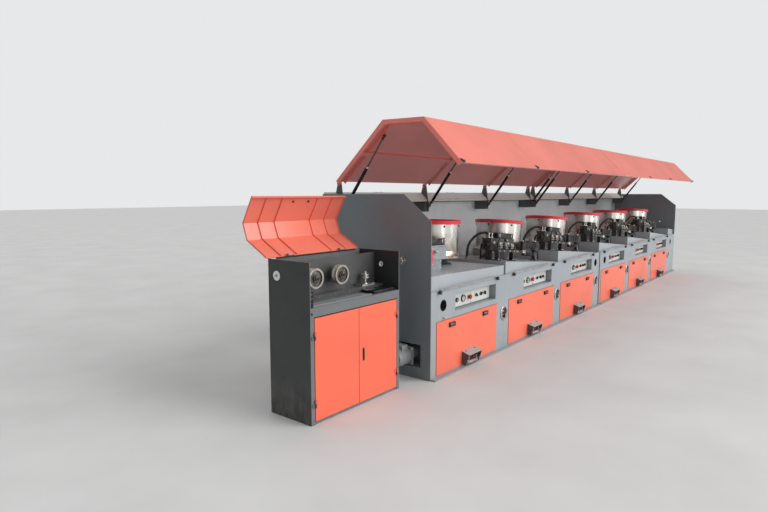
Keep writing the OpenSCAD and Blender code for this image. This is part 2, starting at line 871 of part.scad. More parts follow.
// a long box with a lid over the wire, on a stem
module die_boxes() {
    color("black") in_line() for (k = all_units) on_slope(k) {
        x0 = die_in - foot_in(k);
        box([x0 + die_stem_in, die_y - die_stem_half, 0],
            [die_x1 - die_stem_in, die_y + die_stem_half, die_z0]);
        difference() {
            box([x0, die_y - die_half, die_z0], [die_x1, die_y + die_half, die_z1]);
            translate([x0 - 1, die_y, wire_level]) rotate([0, 90, 0])
                cylinder(h = die_x1 - x0 + 2, r = wire_bore_r, $fn = 32);
        }
        box([x0 - die_lid_lap, die_y - die_half - die_lid_lap, die_z1],
            [die_x1 + die_lid_lap, die_y + die_half + die_lid_lap, die_z1 + die_lid_t]);
    }
}

guided_units = [1 : 2 * units_per_bed - 1];
beam_half = 22;
beam_gap = 42;
beam_y = die_y - die_half - beam_gap - beam_half;
beam_z = 92;
beam_t = 24;
beam_in = [50, 450];
arm_post_w = 40;
arm_post_in = 10;
roller_in = [118, 250, 382];
roller_seat_h = 14;
roller_r = 34;
roller_h = 30;

// a beam on two posts that carries the guide rollers
module guide_arms() {
    color("black") in_line() for (k = guided_units) on_slope(k) translate([-foot_in(k), beam_y, 0]) {
        for (x = [beam_in[0] + arm_post_in, beam_in[1] - arm_post_in - arm_post_w])
            box([x, -beam_half, 0], [x + arm_post_w, beam_half, beam_z]);
        box([beam_in[0], -beam_half, beam_z], [beam_in[1], beam_half, beam_z + beam_t]);
        for (x = roller_in) translate([x, 0, beam_z + beam_t])
            cylinder(h = roller_seat_h, r = beam_half - 4, $fn = 32);
    }
}

module guide_rollers() {
    color("silver") in_line() for (k = guided_units) on_slope(k) for (x = roller_in)
        translate([x - foot_in(k), beam_y, beam_z + beam_t + roller_seat_h]) rotate_extrude($fn = 48)
            polygon([[0, 0], [16, 0], [16, 4], [roller_r, 4], [roller_r, 9],
                [roller_r - 9, roller_h / 2 + 2], [roller_r, roller_h - 5], [roller_r, roller_h],
                [18, roller_h], [18, roller_h + 8], [11, roller_h + 8], [11, roller_h + 18],
                [0, roller_h + 18]]);
}

// Infeed stand: a cabinet with two doors, a roller bay and a cover that hinges at the back

stand_x1 = -stand_gap;
stand_x0 = stand_x1 - stand_w;
stand_y1 = stand_y + stand_d;
header_h = 64;
header_gap = 8;
header_z = stand_h - bay_h - header_h;
door_z1 = header_z - header_gap;
jamb_w = 34;
door_gap = 5;
door_hinge_z = [150, door_z1 - 120];
door_pivot_y = stand_y - 10;
leaf_h = 26;
leaf_r = 7;
leaf_w = 26;
leaf_t = 3;
leaf_pin_r = 3.5;
bay_floor_z = header_z + header_h;
// the hole where the wire comes in from behind, through the wall away from the beds
eye_y = stand_y + 325;

module along_z(z0, z1) {
    translate([0, 0, z0]) linear_extrude(z1 - z0) children();
}

// an end wall with its front edge folded in as a jamb beside the doors
module stand_wall() {
    box([0, 0, 0], [stand_t, stand_d, stand_h]);
    box([0, 0, 0], [jamb_w, stand_t, bay_floor_z]);
}

// the door hinges' lower knuckles and pins, in front of the left jamb
module jamb_hinges() {
    for (z = door_hinge_z) {
        translate([jamb_w + door_gap / 2, door_pivot_y - stand_y, z - leaf_h - 1]) {
            cylinder(h = leaf_h, r = leaf_r, $fn = 32);
            cylinder(h = 2 * leaf_h, r = leaf_pin_r, $fn = 32);
        }
        box([jamb_w + door_gap / 2 - leaf_w, -leaf_t - door_face, z - leaf_h - 1],
            [jamb_w + door_gap / 2, -door_face, z - 1]);
        box([jamb_w + door_gap / 2 - leaf_w, -door_face, z - leaf_h - 1], [jamb_w, 0, z - 1]);
    }
}

module stand_walls() {
    color("darkslategray") in_line() difference() {
        union() {
            translate([stand_x0, stand_y, 0]) {
                stand_wall();
                jamb_hinges();
            }
            translate([stand_x1, stand_y, 0]) mirror([1, 0, 0]) {
                stand_wall();
                jamb_hinges();
            }
        }
        for (hole = [[stand_x0, eye_y], [stand_x1 - stand_t, wire_y]])
            translate([hole[0] - 1, hole[1], wire_z]) rotate([0, 90, 0])
                cylinder(h = stand_t + 2, r = stand_hole_r, $fn = 48);
    }
}

// the cover's hinge line, and its knuckles between pairs of ears on the back
cover_hinge = [stand_y1 + 6, stand_h + 10];
cover_hinge_at = [0.22, 0.78];
cover_pin_r = 5;
knuckle_l = 46;
knuckle_r = 9;
hinge_ear_t = 6;

module stand_back() {
    back_top = stand_h - 8;
    color("dimgray") in_line() {
        box([stand_x0 + stand_t, stand_y1 - stand_t, 0],
            [stand_x1 - stand_t, stand_y1, back_top]);
        for (share = cover_hinge_at) {
            x = stand_x0 + stand_w * share;
            for (side = [-1, 1]) {
                ear_x = x + side * (knuckle_l / 2 + 1 + hinge_ear_t / 2);
                along_x(ear_x - hinge_ear_t / 2, ear_x + hinge_ear_t / 2) {
                    polygon([[stand_y1, back_top - 40], [stand_y1, back_top],
                        cover_hinge - [knuckle_r, 0], cover_hinge + [knuckle_r, 0],
                        cover_hinge + [knuckle_r, -20]]);
                    translate(cover_hinge) circle(r = knuckle_r, $fn = 32);
                }
            }
            pin_half = knuckle_l / 2 + 1 + hinge_ear_t;
            along_x(x - pin_half, x + pin_half) translate(cover_hinge)
                circle(r = cover_pin_r, $fn = 32);
        }
    }
}

base_h = 18;

module stand_shelves() {
    color("dimgray") in_line() {
        box([stand_x0 + stand_t, stand_y + stand_t, 0],
            [stand_x1 - stand_t, stand_y1 - stand_t, base_h]);
        box([stand_x0 + jamb_w, stand_y, header_z], [stand_x1 - jamb_w, stand_y + stand_t, bay_floor_z]);
        box([stand_x0 + stand_t, stand_y + stand_t, bay_floor_z - stand_t],
            [stand_x1 - stand_t, stand_y1 - stand_t, bay_floor_z]);
    }
}

// Roller plate and tray in the bay above the doors
roller_plate_y = stand_y + 250;
roller_plate_t = 12;
roller_plate_drop = 20;
step_d = 90;
step_h = 40;

module stand_tray() {
    color("slategray") in_line() {
        box([stand_x0 + stand_t, roller_plate_y, bay_floor_z],
            [stand_x1 - stand_t, roller_plate_y + roller_plate_t, stand_h - roller_plate_drop]);
        box([stand_x0 + stand_t, roller_plate_y - step_d, bay_floor_z],
            [stand_x1 - stand_t, roller_plate_y, bay_floor_z + step_h]);
    }
}

pulley_in = [211, 480];
pulley_drop = 30;
pulley_z = wire_z - pulley_drop;
pulley_y = stand_y + 150;
pulley_w = 46;
pulley_shaft_r = 16;

module pulley(i) {
    color("silver") in_line()
        translate([stand_x0 + pulley_in[i], pulley_y, pulley_z]) rotate([-90, 0, 0]) {
            rotate_extrude($fn = round_fn) polygon([
                [0, -12], [18, -12], [18, -4], [30, -4], [30, 6], [pulley_r - 16, 8],
                [pulley_r - 16, 0], [pulley_r, 0],
                [pulley_r, 8], [pulley_r - 13, pulley_w / 2], [pulley_r, pulley_w - 8],
                [pulley_r, pulley_w], [pulley_r - 16, pulley_w], [34, pulley_w - 8],
                [34, pulley_w + 8], [pulley_shaft_r, pulley_w + 8],
                [pulley_shaft_r, roller_plate_y - pulley_y - touch],
                [0, roller_plate_y - pulley_y - touch]]);
        }
}

module pulley_first() { pulley(0); }
module pulley_second() { pulley(1); }

spool_in = 795;
spool_y = roller_plate_y - 52;
spool_plate = [75, 36];
spool_plate_t = 16;

// a grooved spool standing on a small plate at the bay's outlet side
module stand_rollers() {
    color("silver") in_line() translate([stand_x0 + spool_in, spool_y, bay_floor_z + step_h]) {
        box([-spool_plate[0], -spool_plate[1], 0], [spool_plate[0], spool_plate[1], spool_plate_t]);
        translate([0, 0, spool_plate_t]) rotate_extrude($fn = 48) polygon([
            [0, 0], [20, 0], [20, 6], [10, 10], [10, 38], [32, 44], [32, 50], [22, 56],
            [22, 62], [32, 68], [32, 74], [12, 78], [12, 86], [0, 86]]);
    }
}

// Cover: folded sheet, open at rest, with its hinge along the top of the back
cover_line = [cover_hinge + [17, -14], cover_hinge + [229, 102], cover_hinge + [276, 228],
    cover_hinge + [162, 426]];
cover_t = 4;
cover_hem = 22;
cover_rib = 14;

module stand_cover() {
    x0 = stand_x0;
    x1 = stand_x1;
    lip = concat(cover_line, [cover_line[3] + side_of(cover_line[3] - cover_line[2]) * cover_hem]);
    color("coral") in_line() {
        along_x(x0, x1) polygon(sheet(lip, cover_t));
        for (share = [0, 0.14, 0.30, 0.68, 0.85, 1]) {
            x = x0 + (x1 - x0 - cover_t) * share;
            along_x(x, x + cover_t)
                polygon(strip(trimmed(cover_line, cover_t), cover_t / 2, cover_rib));
        }
        for (share = cover_hinge_at) {
            x = x0 + stand_w * share;
            along_x(x - knuckle_l / 2, x + knuckle_l / 2) difference() {
                union() {
                    translate(cover_hinge) circle(r = knuckle_r, $fn = 32);
                    polygon([cover_hinge + [2, knuckle_r - 1], cover_hinge + [4, -knuckle_r + 2],
                        cover_line[0] + [22, 13], cover_line[0] + [18, 13]]);
                }
                translate(cover_hinge) circle(r = cover_pin_r + run_gap, $fn = 32);
            }
        }
    }
}

// Doors with their hinge pins in front of the jambs
door_t = 18;
door_z0 = 24;
door_face = 2;
door_half = (stand_w - 2 * jamb_w - 3 * door_gap) / 2;

module stand_door(left) {
    x = left ? stand_x0 + jamb_w + door_gap : stand_x1 - jamb_w - door_gap - door_half;
    pivot_x = left ? x - door_gap / 2 : x + door_half + door_gap / 2;
    inward = left ? 1 : -1;
    color("tomato") in_line() {
        box([x, stand_y - door_face, door_z0], [x + door_half, stand_y - door_face + door_t, door_z1]);
        for (z = door_hinge_z) difference() {
            union() {
                translate([pivot_x, door_pivot_y, z]) cylinder(h = leaf_h, r = leaf_r, $fn = 32);
                box([min(pivot_x, pivot_x + inward * leaf_w), stand_y - door_face - leaf_t, z],
                    [max(pivot_x, pivot_x + inward * leaf_w), stand_y - door_face, z + leaf_h]);
            }
            translate([pivot_x, door_pivot_y, z - 1])
                cylinder(h = leaf_h + 2, r = leaf_pin_r + run_gap, $fn = 32);
        }
    }
}

module stand_door_left() { stand_door(true); }
module stand_door_right() { stand_door(false); }

bed_near();
bed_far();
front_band_near();
front_band_far();
front_posts();
access_panels();
panel_latches();
rear_panels();
instrument_panels();
instruments();
port_cups();
rest_rails();
rest_knobs();
foot_rails();
pedal_guards();
pedals();
wedge_housings();
end_plate_infeed();
end_plate_outlet();
back_walls();
rear_ducts();
strut_brackets();
end_motor();
wire_guides();
grab_handle();
block_pedestals();
die_boxes();
guide_arms();
guide_rollers();
block_1();
block_2();
block_3();
block_4();
block_5();
block_6();
canopy_near();
canopy_far();
strut_cylinders_near();
strut_rods_near();
strut_cylinders_far();
strut_rods_far();
stand_walls();
stand_shelves();
stand_back();
stand_tray();
stand_cover();
stand_door_left();
stand_door_right();
pulley_first();
pulley_second();
stand_rollers();
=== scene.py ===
"""Looks of a straight-line wire drawing machine with its infeed roller stand.

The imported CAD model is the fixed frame. The operators below give its nodes their finishes and
add the small parts that sit on them. Lengths are metres. Inside the functions a place is measured
from the front bottom corner of the infeed end plate, as in the CAD source, and the finished piece
is moved into the frame as a whole.
"""

import math

import bmesh
import bpy
from bpy.props import FloatProperty, FloatVectorProperty, IntProperty, PointerProperty
from mathutils import Matrix, Vector


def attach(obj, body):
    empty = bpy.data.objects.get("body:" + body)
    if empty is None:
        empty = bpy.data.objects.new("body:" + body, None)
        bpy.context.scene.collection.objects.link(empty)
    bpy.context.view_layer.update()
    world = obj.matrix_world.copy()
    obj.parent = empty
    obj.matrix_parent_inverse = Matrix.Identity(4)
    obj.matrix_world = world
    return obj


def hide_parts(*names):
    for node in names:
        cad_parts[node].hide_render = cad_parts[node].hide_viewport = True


bl_info = {
    "name": "Wire Drawing Machine",
    "version": (1, 0, 0),
    "blender": (4, 5, 0),
    "location": "3D View > Sidebar > Wire Line",
    "description": "Finishes and small parts for a straight-line wire drawing machine",
    "category": "Object",
}

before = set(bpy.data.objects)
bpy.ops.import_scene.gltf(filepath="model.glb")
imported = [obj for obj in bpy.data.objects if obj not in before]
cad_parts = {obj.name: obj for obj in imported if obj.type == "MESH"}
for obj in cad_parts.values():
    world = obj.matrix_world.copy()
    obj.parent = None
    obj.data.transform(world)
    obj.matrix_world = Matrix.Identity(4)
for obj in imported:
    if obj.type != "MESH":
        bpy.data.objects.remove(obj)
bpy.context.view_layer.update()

# The line, as the CAD source lays it out
LINE_L = 8.95
BED_D = 1.24
TO_FRAME = Matrix.Translation((-LINE_L / 2, -BED_D / 2, 0))
UNITS = (0.020, 1.420, 2.820, 4.340, 5.740, 7.140)
GUIDED = (1, 2, 3, 4, 5)
DECK_Z = 0.752
LEDGE_Z = 0.755
WEDGE_H = 0.130
WEDGE_L = 1.360
WEDGE_FALL = (0.034, 0.128, 0.128, 0.128, 0.128, 0.128)
SEAT_GAP = 0.0002
PANEL_MID = 0.610
PANEL_HALF = (0.540, 0.590, 0.590, 0.590, 0.590, 0.590)
PORT_IN = 1.310
LIFTING_HOLES = (0.195, 4.105, 4.505, 8.610)
FOOT_IN = (0.803, 0.803, 0.803, 0.683, 0.683, 0.683)
BLOCK_Y = 0.550
BLOCK_TOP = 0.455
BARREL_R = 0.262
RIM_H = 0.038
BARREL_WALL = 0.021
CUP_FLOOR = BLOCK_TOP - 0.290
WIRE_MARKS_Z = (0.345, 0.270)
DIE_IN = 0.034
DIE_X1 = -0.226
DIE_Y = -BARREL_R
DIE_HALF = 0.050
DIE_TOP = 0.234
BEAM_Y = -0.376
ROLLERS_IN = (0.118, 0.250, 0.382)
ROLLER_TOP = 0.178
DIE_AXIS_Z = 0.160
WIRE_Y = 0.288
WIRE_Z = 1.006
LATCH_IN = 0.240
LATCH_Z = 0.434
WALL_BACK_Y = 1.232
DUCT_Y = 1.040
DUCT_Z = 1.487
HINGE = Vector((0, 1.075, 1.667))
STRUT_LOW = Vector((0, 1.012, 1.446))
STRUT_HIGH = Vector((0, 0.548, 2.074))
STRUT_X = (0.060, 1.460, 2.860, 4.200, 4.380, 5.780, 7.180, 8.800)
BRACKET_HALF = 0.040
CANOPY_FRONT = Vector((0, -0.289, 1.817))
CANOPY_FOLD = Vector((0, 0.073, 2.192))
CANOPY_RIDGE = Vector((0, 0.500, 2.200))
STAND_X0 = -1.275
STAND_X1 = -0.295
STAND_Y0 = 0.105
STAND_Y1 = 0.520
BAY_FLOOR_Z = 0.812
PULLEYS = (-1.064, -0.795)
PULLEY_Y = 0.255
PULLEY_Z = 0.976
PULLEY_R = 0.073
SPOOL = Vector((-0.480, 0.303, 0.852))

# Along the line: from where a canopy's ribs get the painted shade of its underside, and between
# which places the back wall is painted darker towards the outlet, as painted shade
FIRST_RIB_X = 0.3
OUTLET_SHADE_X = (5.6, 7.6)

SHARP_ANGLE = math.radians(35)
UP, FRONT, BACK = Vector((0, 0, 1)), Vector((0, -1, 0)), Vector((0, 1, 0))
INFEED, OUTLET = Vector((-1, 0, 0)), Vector((1, 0, 0))


# Places and shapes


def facing(point, out):
    """A place at a point, with its Z axis along the direction out."""
    turn = Vector(out).to_track_quat("Z", "Y").to_matrix().to_4x4()
    return Matrix.Translation(point) @ turn


def raised(place, height):
    """The same place, moved along its own Z axis."""
    return place @ Matrix.Translation((0, 0, height))


def spun(place, angle):
    """The same place, turned about its own Z axis."""
    return place @ Matrix.Rotation(angle, 4, "Z")


def on_slope(unit):
    """The place of a block's foot on its wedge, with Z along the block's axis."""
    foot, fall = FOOT_IN[unit], WEDGE_FALL[unit]
    height = DECK_Z + WEDGE_H - fall * foot / WEDGE_L + SEAT_GAP
    spot = Matrix.Translation((UNITS[unit] + foot, BLOCK_Y, height))
    return spot @ Matrix.Rotation(math.atan(fall / WEDGE_L), 4, "Y")


def panel_span(unit):
    """Where a unit's access panel starts and ends along the line."""
    middle = UNITS[unit] + PANEL_MID
    return middle - PANEL_HALF[unit], middle + PANEL_HALF[unit]


def meshes(count):
    """New meshes to build pieces in."""
    return [bmesh.new() for _ in range(count)]


def box(bm, low, high, place=Matrix(), bevel=0.0):
    """A block between two corners, with its edges eased where bevel is above zero."""
    low, high = Vector(low), Vector(high)
    matrix = place @ Matrix.Translation((low + high) / 2) @ Matrix.Diagonal((*(high - low), 1))
    verts = bmesh.ops.create_cube(bm, size=1, matrix=matrix)["verts"]
    if bevel:
        edges = list({e for v in verts for e in v.link_edges})
        bmesh.ops.bevel(bm, geom=edges, offset=bevel, segments=2, profile=0.5,
                        affect="EDGES", material=-1)


def rod(bm, start, end, radius, place=Matrix(), sides=20, end_radius=None):
    """A round bar, or a cone where its far end has a radius of its own."""
    start, end = Vector(start), Vector(end)
    matrix = place @ facing((start + end) / 2, end - start)
    return bmesh.ops.create_cone(
        bm, cap_ends=True, segments=sides, radius1=radius,
        radius2=radius if end_radius is None else end_radius,
        depth=(end - start).length, matrix=matrix)["verts"]


def turned(bm, profile, place=Matrix(), steps=32):
    """A profile of (radius, height) points, turned about the Z axis of a place.

    A profile that starts off the axis is a ring, and is closed here.
    """
    if profile[0][0]:
        profile = [*profile, profile[0]]
    before = set(bm.verts)
    ring = [bm.verts.new(place @ Vector((r, 0, h))) for r, h in profile]
    edges = [bm.edges.new(pair) for pair in zip(ring, ring[1:])]
    bmesh.ops.spin(bm, geom=ring + edges, cent=place.translation,
                   axis=place.to_3x3() @ UP, angle=math.tau, steps=steps, use_merge=True)
    fresh = [v for v in bm.verts if v not in before]
    bmesh.ops.remove_doubles(bm, verts=fresh, dist=1e-5)


def bent_tube(bm, points, radius, place=Matrix(), sides=12):
    """A round tube along a row of points, closed at both ends."""
    points = [place @ Vector(p) for p in points]
    start = facing(points[0], points[1] - points[0])
    ring = bmesh.ops.create_circle(bm, cap_ends=True, segments=sides, radius=radius,
                                   matrix=start)["verts"]
    ahead = (points[1] - points[0]).normalized()
    for i, point in enumerate(points[1:], 1):
        edges = {e for v in ring for e in v.link_edges if e.other_vert(v) in ring}
        made = bmesh.ops.extrude_edge_only(bm, edges=list(edges))["geom"]
        ring = [g for g in made if isinstance(g, bmesh.types.BMVert)]
        onward = points[min(i + 1, len(points) - 1)] - points[i - 1]
        turn = ahead.rotation_difference(onward.normalized())
        bmesh.ops.rotate(bm, verts=ring, cent=points[i - 1], matrix=turn.to_matrix())
        middle = sum((v.co for v in ring), Vector()) / len(ring)
        bmesh.ops.translate(bm, verts=ring, vec=point - middle)
        ahead = onward.normalized()
    bmesh.ops.contextual_create(bm, geom=ring)


def bolt(bm, place, size=0.008):
    """A hexagon bolt head of that thread size on its washer."""
    rod(bm, (0, 0, -0.001), (0, 0, size * 0.2), size * 1.1, place, sides=14)
    rod(bm, (0, 0, size * 0.2), (0, 0, size * 0.72), size * 0.92, place, sides=6)
    rod(bm, (0, 0, size * 0.72), (0, 0, size * 0.86), size * 0.92, place, sides=6,
        end_radius=size * 0.72)


def socket_screw(bm, place, size=0.006):
    """A cap screw with its hexagon socket."""
    turned(bm, [(0, size * 0.3), (size * 0.45, size * 0.3), (size * 0.45, size * 0.95),
                (size * 0.75, size * 0.95), (size * 0.85, size * 0.8), (size * 0.85, -0.001),
                (0, -0.001)], place, steps=12)


def ring_of(place, radius, count, turn=0.0):
    """Places round a circle in a place's XY plane."""
    spots = []
    for i in range(count):
        angle = turn + math.tau * i / count
        offset = Vector((radius * math.cos(angle), radius * math.sin(angle), 0))
        spots.append(place @ Matrix.Translation(offset))
    return spots


def corners(place, half_x, half_y):
    """Places at the corners of a rectangle round a place, in its XY plane."""
    return [place @ Matrix.Translation((x, y, 0)) for x in (-half_x, half_x)
            for y in (-half_y, half_y)]


# The slot named for each finish, where nothing else is asked for; piece looks it up but gives the
# piece no slot
SLOTS = {
    "screw": "bright_steel", "steel": "bright_steel", "latch": "bright_steel",
    "dark_screw": "black_steel", "oiled": "black_steel", "plastic": "black_plastic",
    "rubber": "rubber", "white": "pale_panel", "beige": "beige_duct", "canopy": "red_paint",
    "motor": "grey_paint", "slat": "grey_paint",
}


def piece(name, bm, finish, body="machine", slot=None, stands_for=()):
    """Closes a bmesh into an object of the frame that rides on a CAD body."""
    bmesh.ops.recalc_face_normals(bm, faces=bm.faces)
    bmesh.ops.transform(bm, matrix=TO_FRAME, verts=bm.verts)
    mesh = bpy.data.meshes.new(name)
    bm.to_mesh(mesh)
    bm.free()
    mesh.shade_smooth()
    mesh.set_sharp_from_angle(angle=SHARP_ANGLE)
    obj = bpy.data.objects.new(name, mesh)
    bpy.context.scene.collection.objects.link(obj)
    mesh.materials.append(FINISHES[finish])
    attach(obj, body)
    slot = slot or SLOTS.get(finish)
    if stands_for:
        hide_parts(*stands_for)
    return obj


class Finish:
    """A material under way: adds nodes, joins sockets and holds the shader."""

    def __init__(self, name, **sockets):
        self.material = bpy.data.materials.new(name)
        self.material.use_nodes = True
        self.tree = self.material.node_tree
        self.shader = self.tree.nodes["Principled BSDF"]
        self.place = self.add("ShaderNodeTexCoord").outputs["Object"]
        self.wear(**sockets)

    def add(self, kind, inputs=None, **settings):
        """A new node with its settings and its inputs."""
        made = self.tree.nodes.new(kind)
        for key, value in settings.items():
            setattr(made, key, value)
        for key, value in (inputs or {}).items():
            self.join(value, made.inputs[key])
        return made

    def join(self, value, socket):
        """A link where the value is a socket, else the socket's own value."""
        if isinstance(value, bpy.types.NodeSocket):
            self.tree.links.new(value, socket)
        else:
            socket.default_value = value

    def wear(self, **sockets):
        """Sets the shader's sockets, named with _ for a space."""
        for key, value in sockets.items():
            self.join(value, self.shader.inputs[key.replace("_", " ")])

    def noise(self, scale, detail=3.0, stretch=None, roughness=0.55):
        """Noise on Object coordinates, drawn out along an axis by a stretch."""
        place = self.place
        if stretch:
            place = self.add("ShaderNodeMapping", {"Vector": place, "Scale": stretch}).outputs[0]
        return self.add("ShaderNodeTexNoise", {"Vector": place, "Scale": scale, "Detail": detail,
                                               "Roughness": roughness}).outputs["Fac"]

    def spread(self, value, low, high, out_low=0.0, out_high=1.0):
        """A value between low and high, spread over a new range."""
        return self.add("ShaderNodeMapRange", {
            "Value": value, "From Min": low, "From Max": high,
            "To Min": out_low, "To Max": out_high}).outputs[0]

    def calc(self, operation, a, b):
        """Two numbers put together by a math node."""
        return self.add("ShaderNodeMath", {0: a, 1: b}, operation=operation).outputs[0]

    def times(self, a, b):
        return self.calc("MULTIPLY", a, b)

    def vector(self, operation, *inputs):
        """The number or vector that a vector math node gives."""
        made = self.add("ShaderNodeVectorMath", dict(enumerate(inputs)), operation=operation)
        return made.outputs["Value" if operation in {"DOT_PRODUCT", "LENGTH"} else "Vector"]

    def parts(self, vector):
        """The X, Y and Z of a vector."""
        return self.add("ShaderNodeSeparateXYZ", {"Vector": vector}).outputs

    def blend(self, share, a, b):
        """Colour a where share is 0 and colour b where it is 1."""
        mix = self.add("ShaderNodeMix", data_type="RGBA")
        colours = [s for s in mix.inputs if s.type == "RGBA"]
        self.join(share, mix.inputs[0])
        self.join(a, colours[0])
        self.join(b, colours[1])
        return next(s for s in mix.outputs if s.type == "RGBA")

    def height(self):
        return self.parts(self.place)["Z"]

    def along(self):
        """How far along the line a point is, from the frame's middle."""
        return self.parts(self.place)["X"]

    def face(self):
        """The way a face looks, before any smoothing."""
        return self.add("ShaderNodeNewGeometry").outputs["True Normal"]

    def edges(self, radius=0.002):
        """The normal with its edges rounded, and a share that is 1 on sharp edges."""
        rounded = self.add("ShaderNodeBevel", {"Radius": radius}, samples=4).outputs[0]
        flat = self.add("ShaderNodeNewGeometry").outputs["Normal"]
        return rounded, self.spread(self.vector("DOT_PRODUCT", rounded, flat), 0.98, 0.80)

    def bumps(self, value, depth, normal=None):
        """A bump of that depth in metres, laid over a normal."""
        inputs = {"Height": value, "Strength": 1.0, "Distance": depth}
        if normal is not None:
            inputs["Normal"] = normal
        return self.add("ShaderNodeBump", inputs).outputs[0]


def tone(colour, factor):
    """The same colour, lighter or darker."""
    return (*(min(1.0, c * factor) for c in colour[:3]), 1.0)


# Finishes


def painted_steel(name, colour, gloss=0.38, dust=0.35, chips=0.5, sides=None, soot=None,
                  grime=0.55, lining=None, round_edge=0.002):
    """Sprayed paint: orange peel, cloudy tone, dust near the floor and rubbed edges.

    Sides is a darker tone painted on the sheets that face along the line: painted shade. Soot is
    the pair of heights between which a front face is painted darker towards its lower edge, and
    darker towards the outlet too: painted shade. Grime is the strength of the streaks that run
    down. The underside shade colour is painted on the faces that look down and on the ribs:
    painted shade, duller than the paint in light.
    """
    f = Finish(name, Coat_Weight=0.18, Coat_Roughness=0.22, IOR=1.5)
    fine, swing = (4.0, 1.0) if grime > 0.3 else (2.0, 0.15)
    cloud = f.spread(f.noise(1.7, fine), 0.35, 0.68)
    streaks = f.spread(f.noise(5.0, 5.0, (2.2, 2.2, 0.16)), 0.52, 0.75, 0.0, grime)
    base = f.blend(cloud, tone(colour, 0.93), tone(colour, 1.05))
    base = f.blend(f.times(streaks, cloud), base, tone(colour, 0.80))
    # Painted shade: a darker tone on the sheets that face along the line
    if sides:
        across = f.vector("LENGTH", f.vector("MULTIPLY", f.face(), OUTLET))
        base = f.blend(f.spread(across, 0.6, 0.8), base,
                       f.blend(cloud, tone(colour, sides * 0.9), tone(colour, sides)))
    # Painted shade: a duller colour on the faces that look down and on the ribs past the first
    if lining:
        inner = f.add("ShaderNodeVectorTransform", {"Vector": f.face()},
                      vector_type="NORMAL", convert_from="WORLD", convert_to="OBJECT")
        inner = f.parts(inner.outputs["Vector"])
        past = (TO_FRAME @ (OUTLET * FIRST_RIB_X)).x
        ribs = f.times(f.spread(f.times(inner["X"], inner["X"]), 0.7, 0.8),
                       f.spread(f.along(), past, past + 0.01))
        inside = f.calc("MAXIMUM", f.spread(inner["Z"], -0.05, -0.15), ribs)
        base = f.blend(inside, base, f.blend(cloud, tone(lining, 0.9), lining))
    # Painted shade: a front face darker towards its lower edge and towards the outlet
    if soot:
        film = f.spread(f.height(), soot[1], soot[0], 0.0, 0.85)
        film = f.times(film, f.spread(f.noise(3.2, 4.0, (0.6, 0.6, 1.6)), 0.20, 0.55, 0.6, 1.0))
        front = f.spread(f.parts(f.face())["Y"], -0.2, -0.5)
        far = [(TO_FRAME @ (OUTLET * x)).x for x in OUTLET_SHADE_X]
        film = f.calc("MAXIMUM", film, f.spread(f.along(), *far, 0.0, 0.55))
        base = f.blend(f.times(film, front), base, tone(colour, 0.34))
    low = f.spread(f.height(), 0.34, 0.0)
    grit = f.spread(f.noise(26.0, 5.0, (1.0, 1.0, 0.35)), 0.38, 0.70)
    base = f.blend(f.times(f.times(low, grit), dust), base, (0.30, 0.27, 0.23, 1))
    rounded, edge = f.edges(round_edge)
    rubbed = f.times(edge, f.spread(f.noise(38.0, 4.0), 0.50, 0.62, 0.0, chips))
    base = f.blend(rubbed, base, (0.20, 0.19, 0.18, 1))
    f.wear(Base_Color=base,
           Roughness=f.spread(f.noise(9.0, fine), 0.3, 0.7, gloss - 0.07 * swing,
                              gloss + 0.10 * swing),
           Normal=f.bumps(f.noise(420.0, 2.0), 0.00022, rounded))
    return f.material


def bare_steel(name, colour=(0.62, 0.61, 0.59, 1), gloss=0.30, lines=(1, 1, 60), smear=0.4):
    """Machined steel: fine tool lines along one axis and a film of old oil."""
    f = Finish(name, Metallic=1.0, Anisotropic=0.35)
    film = f.spread(f.noise(6.0, 4.0), 0.42, 0.70, 0.0, smear)
    tooling = f.noise(16.0, 2.0, lines)
    base = f.blend(film, colour, tone(colour, 0.45))
    rounded = f.edges(0.0012)[0]
    f.wear(Base_Color=base,
           Roughness=f.spread(f.noise(14.0, 4.0), 0.3, 0.7, gloss - 0.06, gloss + 0.16),
           Normal=f.bumps(tooling, 0.00012, rounded))
    return f.material


def oiled_steel(name, colour=(0.030, 0.030, 0.032, 1)):
    """Blackened steel under a film of drawing soap and oil, rubbed bright on its edges."""
    f = Finish(name, Metallic=0.75)
    soot = f.spread(f.noise(22.0, 5.0), 0.40, 0.66)
    rounded, edge = f.edges(0.0025)
    base = f.blend(soot, colour, tone(colour, 2.4))
    base = f.blend(f.times(edge, f.spread(f.noise(60.0, 3.0), 0.40, 0.62, 0.1, 0.9)), base,
                   (0.34, 0.32, 0.30, 1))
    soap = f.spread(f.noise(34.0, 6.0), 0.60, 0.74, 0.0, 0.55)
    base = f.blend(soap, base, (0.22, 0.20, 0.17, 1))
    f.wear(Base_Color=base, Roughness=f.spread(soot, 0.0, 1.0, 0.26, 0.52),
           Normal=f.bumps(f.noise(160.0, 4.0), 0.0004, rounded))
    return f.material


def moulded_plastic(name, colour, gloss=0.42):
    """Plastic with a fine moulded grain."""
    f = Finish(name, IOR=1.46)
    scuffs = f.spread(f.noise(70.0, 4.0), 0.55, 0.75, 0.0, 0.35)
    rounded = f.edges(0.0008)[0]
    f.wear(Base_Color=f.blend(scuffs, colour, tone(colour, 1.6)),
           Roughness=f.spread(f.noise(30.0, 3.0), 0.3, 0.7, gloss - 0.08, gloss + 0.08),
           Normal=f.bumps(f.noise(900.0, 2.0), 0.00008, rounded))
    return f.material


